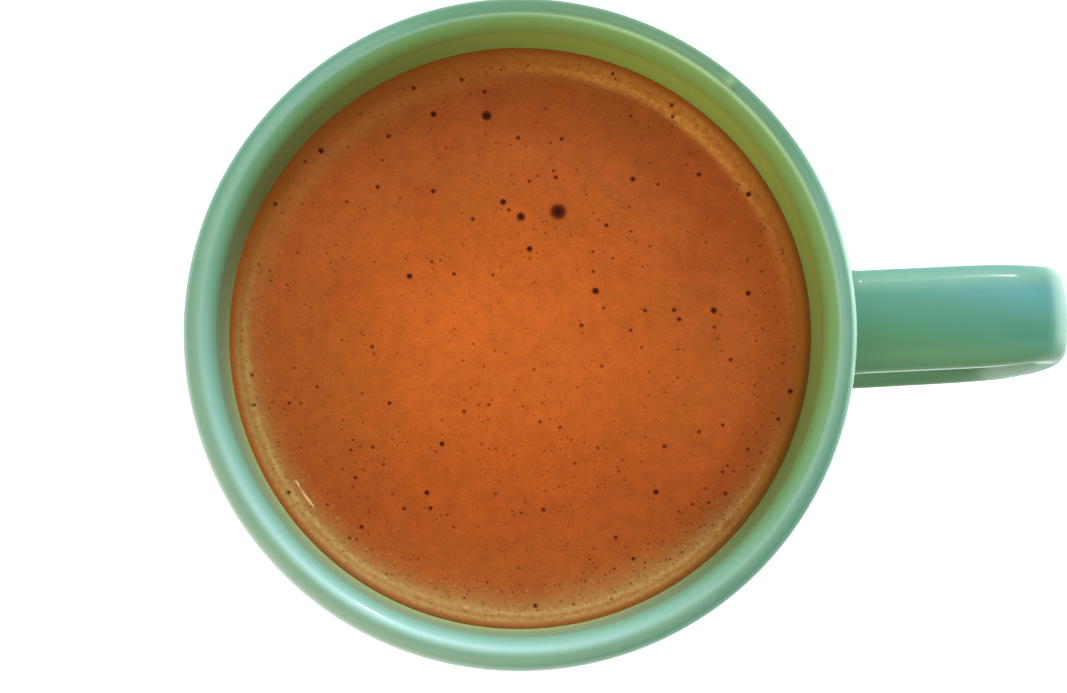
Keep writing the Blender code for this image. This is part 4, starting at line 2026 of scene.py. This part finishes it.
@dataclass(frozen=True)
class Studio:
    """A plain pale floor, a soft sky with a cool and a warm glow, and one small lamp for glints.

    The cool glow has a narrower one within it, and that one a bright core a little higher.
    """

    floor_size: float = 6.0
    floor_colour: RGB = (0.86, 0.86, 0.85)
    floor_glow: float = 0.55
    horizon: RGB = (0.42, 0.42, 0.41)
    ceiling: RGB = (0.20, 0.20, 0.20)
    glows: tuple[Glow, ...] = (
        Glow(70, 42, 3.0, (0.74, 0.96, 1.00), 2.2),
        Glow(70, 42, 11.0, (0.72, 0.94, 1.00), 1.3),
        Glow(70, 47, 45.0, (0.90, 0.98, 1.00), 0.8),
        Glow(225, 25, 2.0, (1.00, 0.90, 0.70), 1.15),
    )
    lamp_turn: float = 62.0
    lamp_height: float = 46.0
    lamp_distance: float = 1.0
    lamp_size: float = 0.04
    lamp_power: float = 0.9

    def build_lamp(self) -> None:
        """A small square lamp, which gives the glaze its few sharp glints."""
        lamp = bpy.data.lights.new("glint_lamp", "AREA")
        lamp.size = self.lamp_size
        lamp.energy = self.lamp_power
        holder = bpy.data.objects.new("glint_lamp", lamp)
        eye = self.lamp_distance * np.array(unit_direction(self.lamp_turn, self.lamp_height))
        holder.matrix_world = looking(eye, np.zeros(3), np.array([0.0, 0.0, 1.0]))
        bpy.context.scene.collection.objects.link(holder)

    def build_floor(self) -> bpy.types.Object:
        """The floor, which isn't part of the object.

        Returns:
            The floor.
        """
        half = self.floor_size / 2
        corners = [(-half, -half, 0.0), (half, -half, 0.0), (half, half, 0.0), (-half, half, 0.0)]
        mesh = bpy.data.meshes.new("pale_floor")
        mesh.from_pydata(corners, [], [(0, 1, 2, 3)])
        floor = bpy.data.objects.new("pale_floor", mesh)
        bpy.context.scene.collection.objects.link(floor)
        material, _, shader = new_material("floor_paper", Roughness=0.9, Emission_Strength=self.floor_glow)
        shader.inputs["Base Color"].default_value = (*self.floor_colour, 1.0)
        shader.inputs["Emission Color"].default_value = (*self.floor_colour, 1.0)
        mesh.materials.append(material)
        return floor

    def build_world(self) -> None:
        """The sky: a plain gradient, plus each glow's colour times its strength."""
        world = bpy.data.worlds.new("soft_surround")
        world.use_nodes = True
        graph = Graph(world.node_tree)
        direction = graph.add("TexCoord").outputs["Generated"]
        parts = graph.add("SeparateXYZ")
        graph.put(parts.inputs[0], direction)
        sky = graph.blend(graph.ramp(parts.outputs["Z"], 0.2, 0.95), self.horizon, self.ceiling)
        for glow in self.glows:
            towards = unit_direction(glow.turn, glow.height)
            share = graph.glow(direction, towards, glow.sharpness)
            strong = tuple(glow.power * channel for channel in glow.colour)
            lit = graph.blend(share, (0.0, 0.0, 0.0), strong)
            sky = graph.blend(1.0, sky, lit, "ADD")
        graph.put(world.node_tree.nodes["Background"].inputs["Color"], sky)
        bpy.context.scene.world = world


def looking(eye: np.ndarray, target: np.ndarray, up: np.ndarray) -> Matrix:
    """The matrix of a camera or a light that stands at eye and faces target.

    Args:
        eye: Where it stands.
        target: What it faces.
        up: The direction that its upper side turns to.

    Returns:
        Its place and turn.
    """
    back = (eye - target) / np.linalg.norm(eye - target)
    right = np.cross(up, back)
    right /= np.linalg.norm(right)
    matrix = np.eye(4)
    matrix[:3, :3] = np.stack([right, np.cross(back, right), back], axis=1)
    matrix[:3, 3] = eye
    return Matrix(matrix.tolist())


@dataclass(frozen=True)
class OverheadCamera:
    """A camera held above the cup, a little towards -Y of it and turned by a few degrees."""

    distance: float = 0.240
    tilt: float = math.radians(4.0)
    roll: float = math.radians(2.7)
    aim: tuple[float, float, float] = (0.00151, -0.00204, 0.08586)
    focal_mm: float = 66.57
    sensor_mm: float = 36.0

    def build(self, rim_height: float) -> None:
        """Adds the camera and makes it the scene's own.

        Args:
            rim_height: Height of the cup's rim, which the distance is measured from.
        """
        up = np.array([math.sin(self.roll), math.cos(self.roll), 0.0])
        eye = np.array([0.0, 0.0, rim_height + self.distance * math.cos(self.tilt)])
        eye -= up * self.distance * math.sin(self.tilt)
        lens = bpy.data.cameras.new("overhead_camera")
        lens.lens = self.focal_mm
        lens.sensor_width = self.sensor_mm
        lens.clip_start = 0.01
        camera = bpy.data.objects.new("overhead_camera", lens)
        camera.matrix_world = looking(eye, np.array(self.aim), up)
        bpy.context.scene.collection.objects.link(camera)
        bpy.context.scene.camera = camera


# ---------------- everything


def hand_over(piece: bpy.types.Object, node: Node) -> None:
    """Says which body a piece rides on and which node it stands for.

    Args:
        piece: The piece.
        node: The node that it stands for.
    """
    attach(piece, "root")
    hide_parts(node.value)
    log.info("%s: %d faces", piece.name, len(piece.data.polygons))


def main() -> None:
    """Builds the mug, the drink, the floor, the lights and the camera, in that order."""
    logging.basicConfig(level=logging.INFO, format="%(name)s %(message)s")
    effects = SharedEffects()
    mug = Mug()
    glaze, clay = CeladonGlaze(effects).material(), BareClay(effects).material()
    hand_over(mug.build(glaze, clay), Node.MUG)
    tea = MilkyTea(effects).material()
    hand_over(Drink(mug).build(tea), Node.CHAI)
    studio = Studio()
    studio.build_floor()
    studio.build_world()
    studio.build_lamp()
    OverheadCamera().build(mug.height)
    bpy.context.scene.view_settings.view_transform = "Standard"


if __name__ == "__main__":
    main()
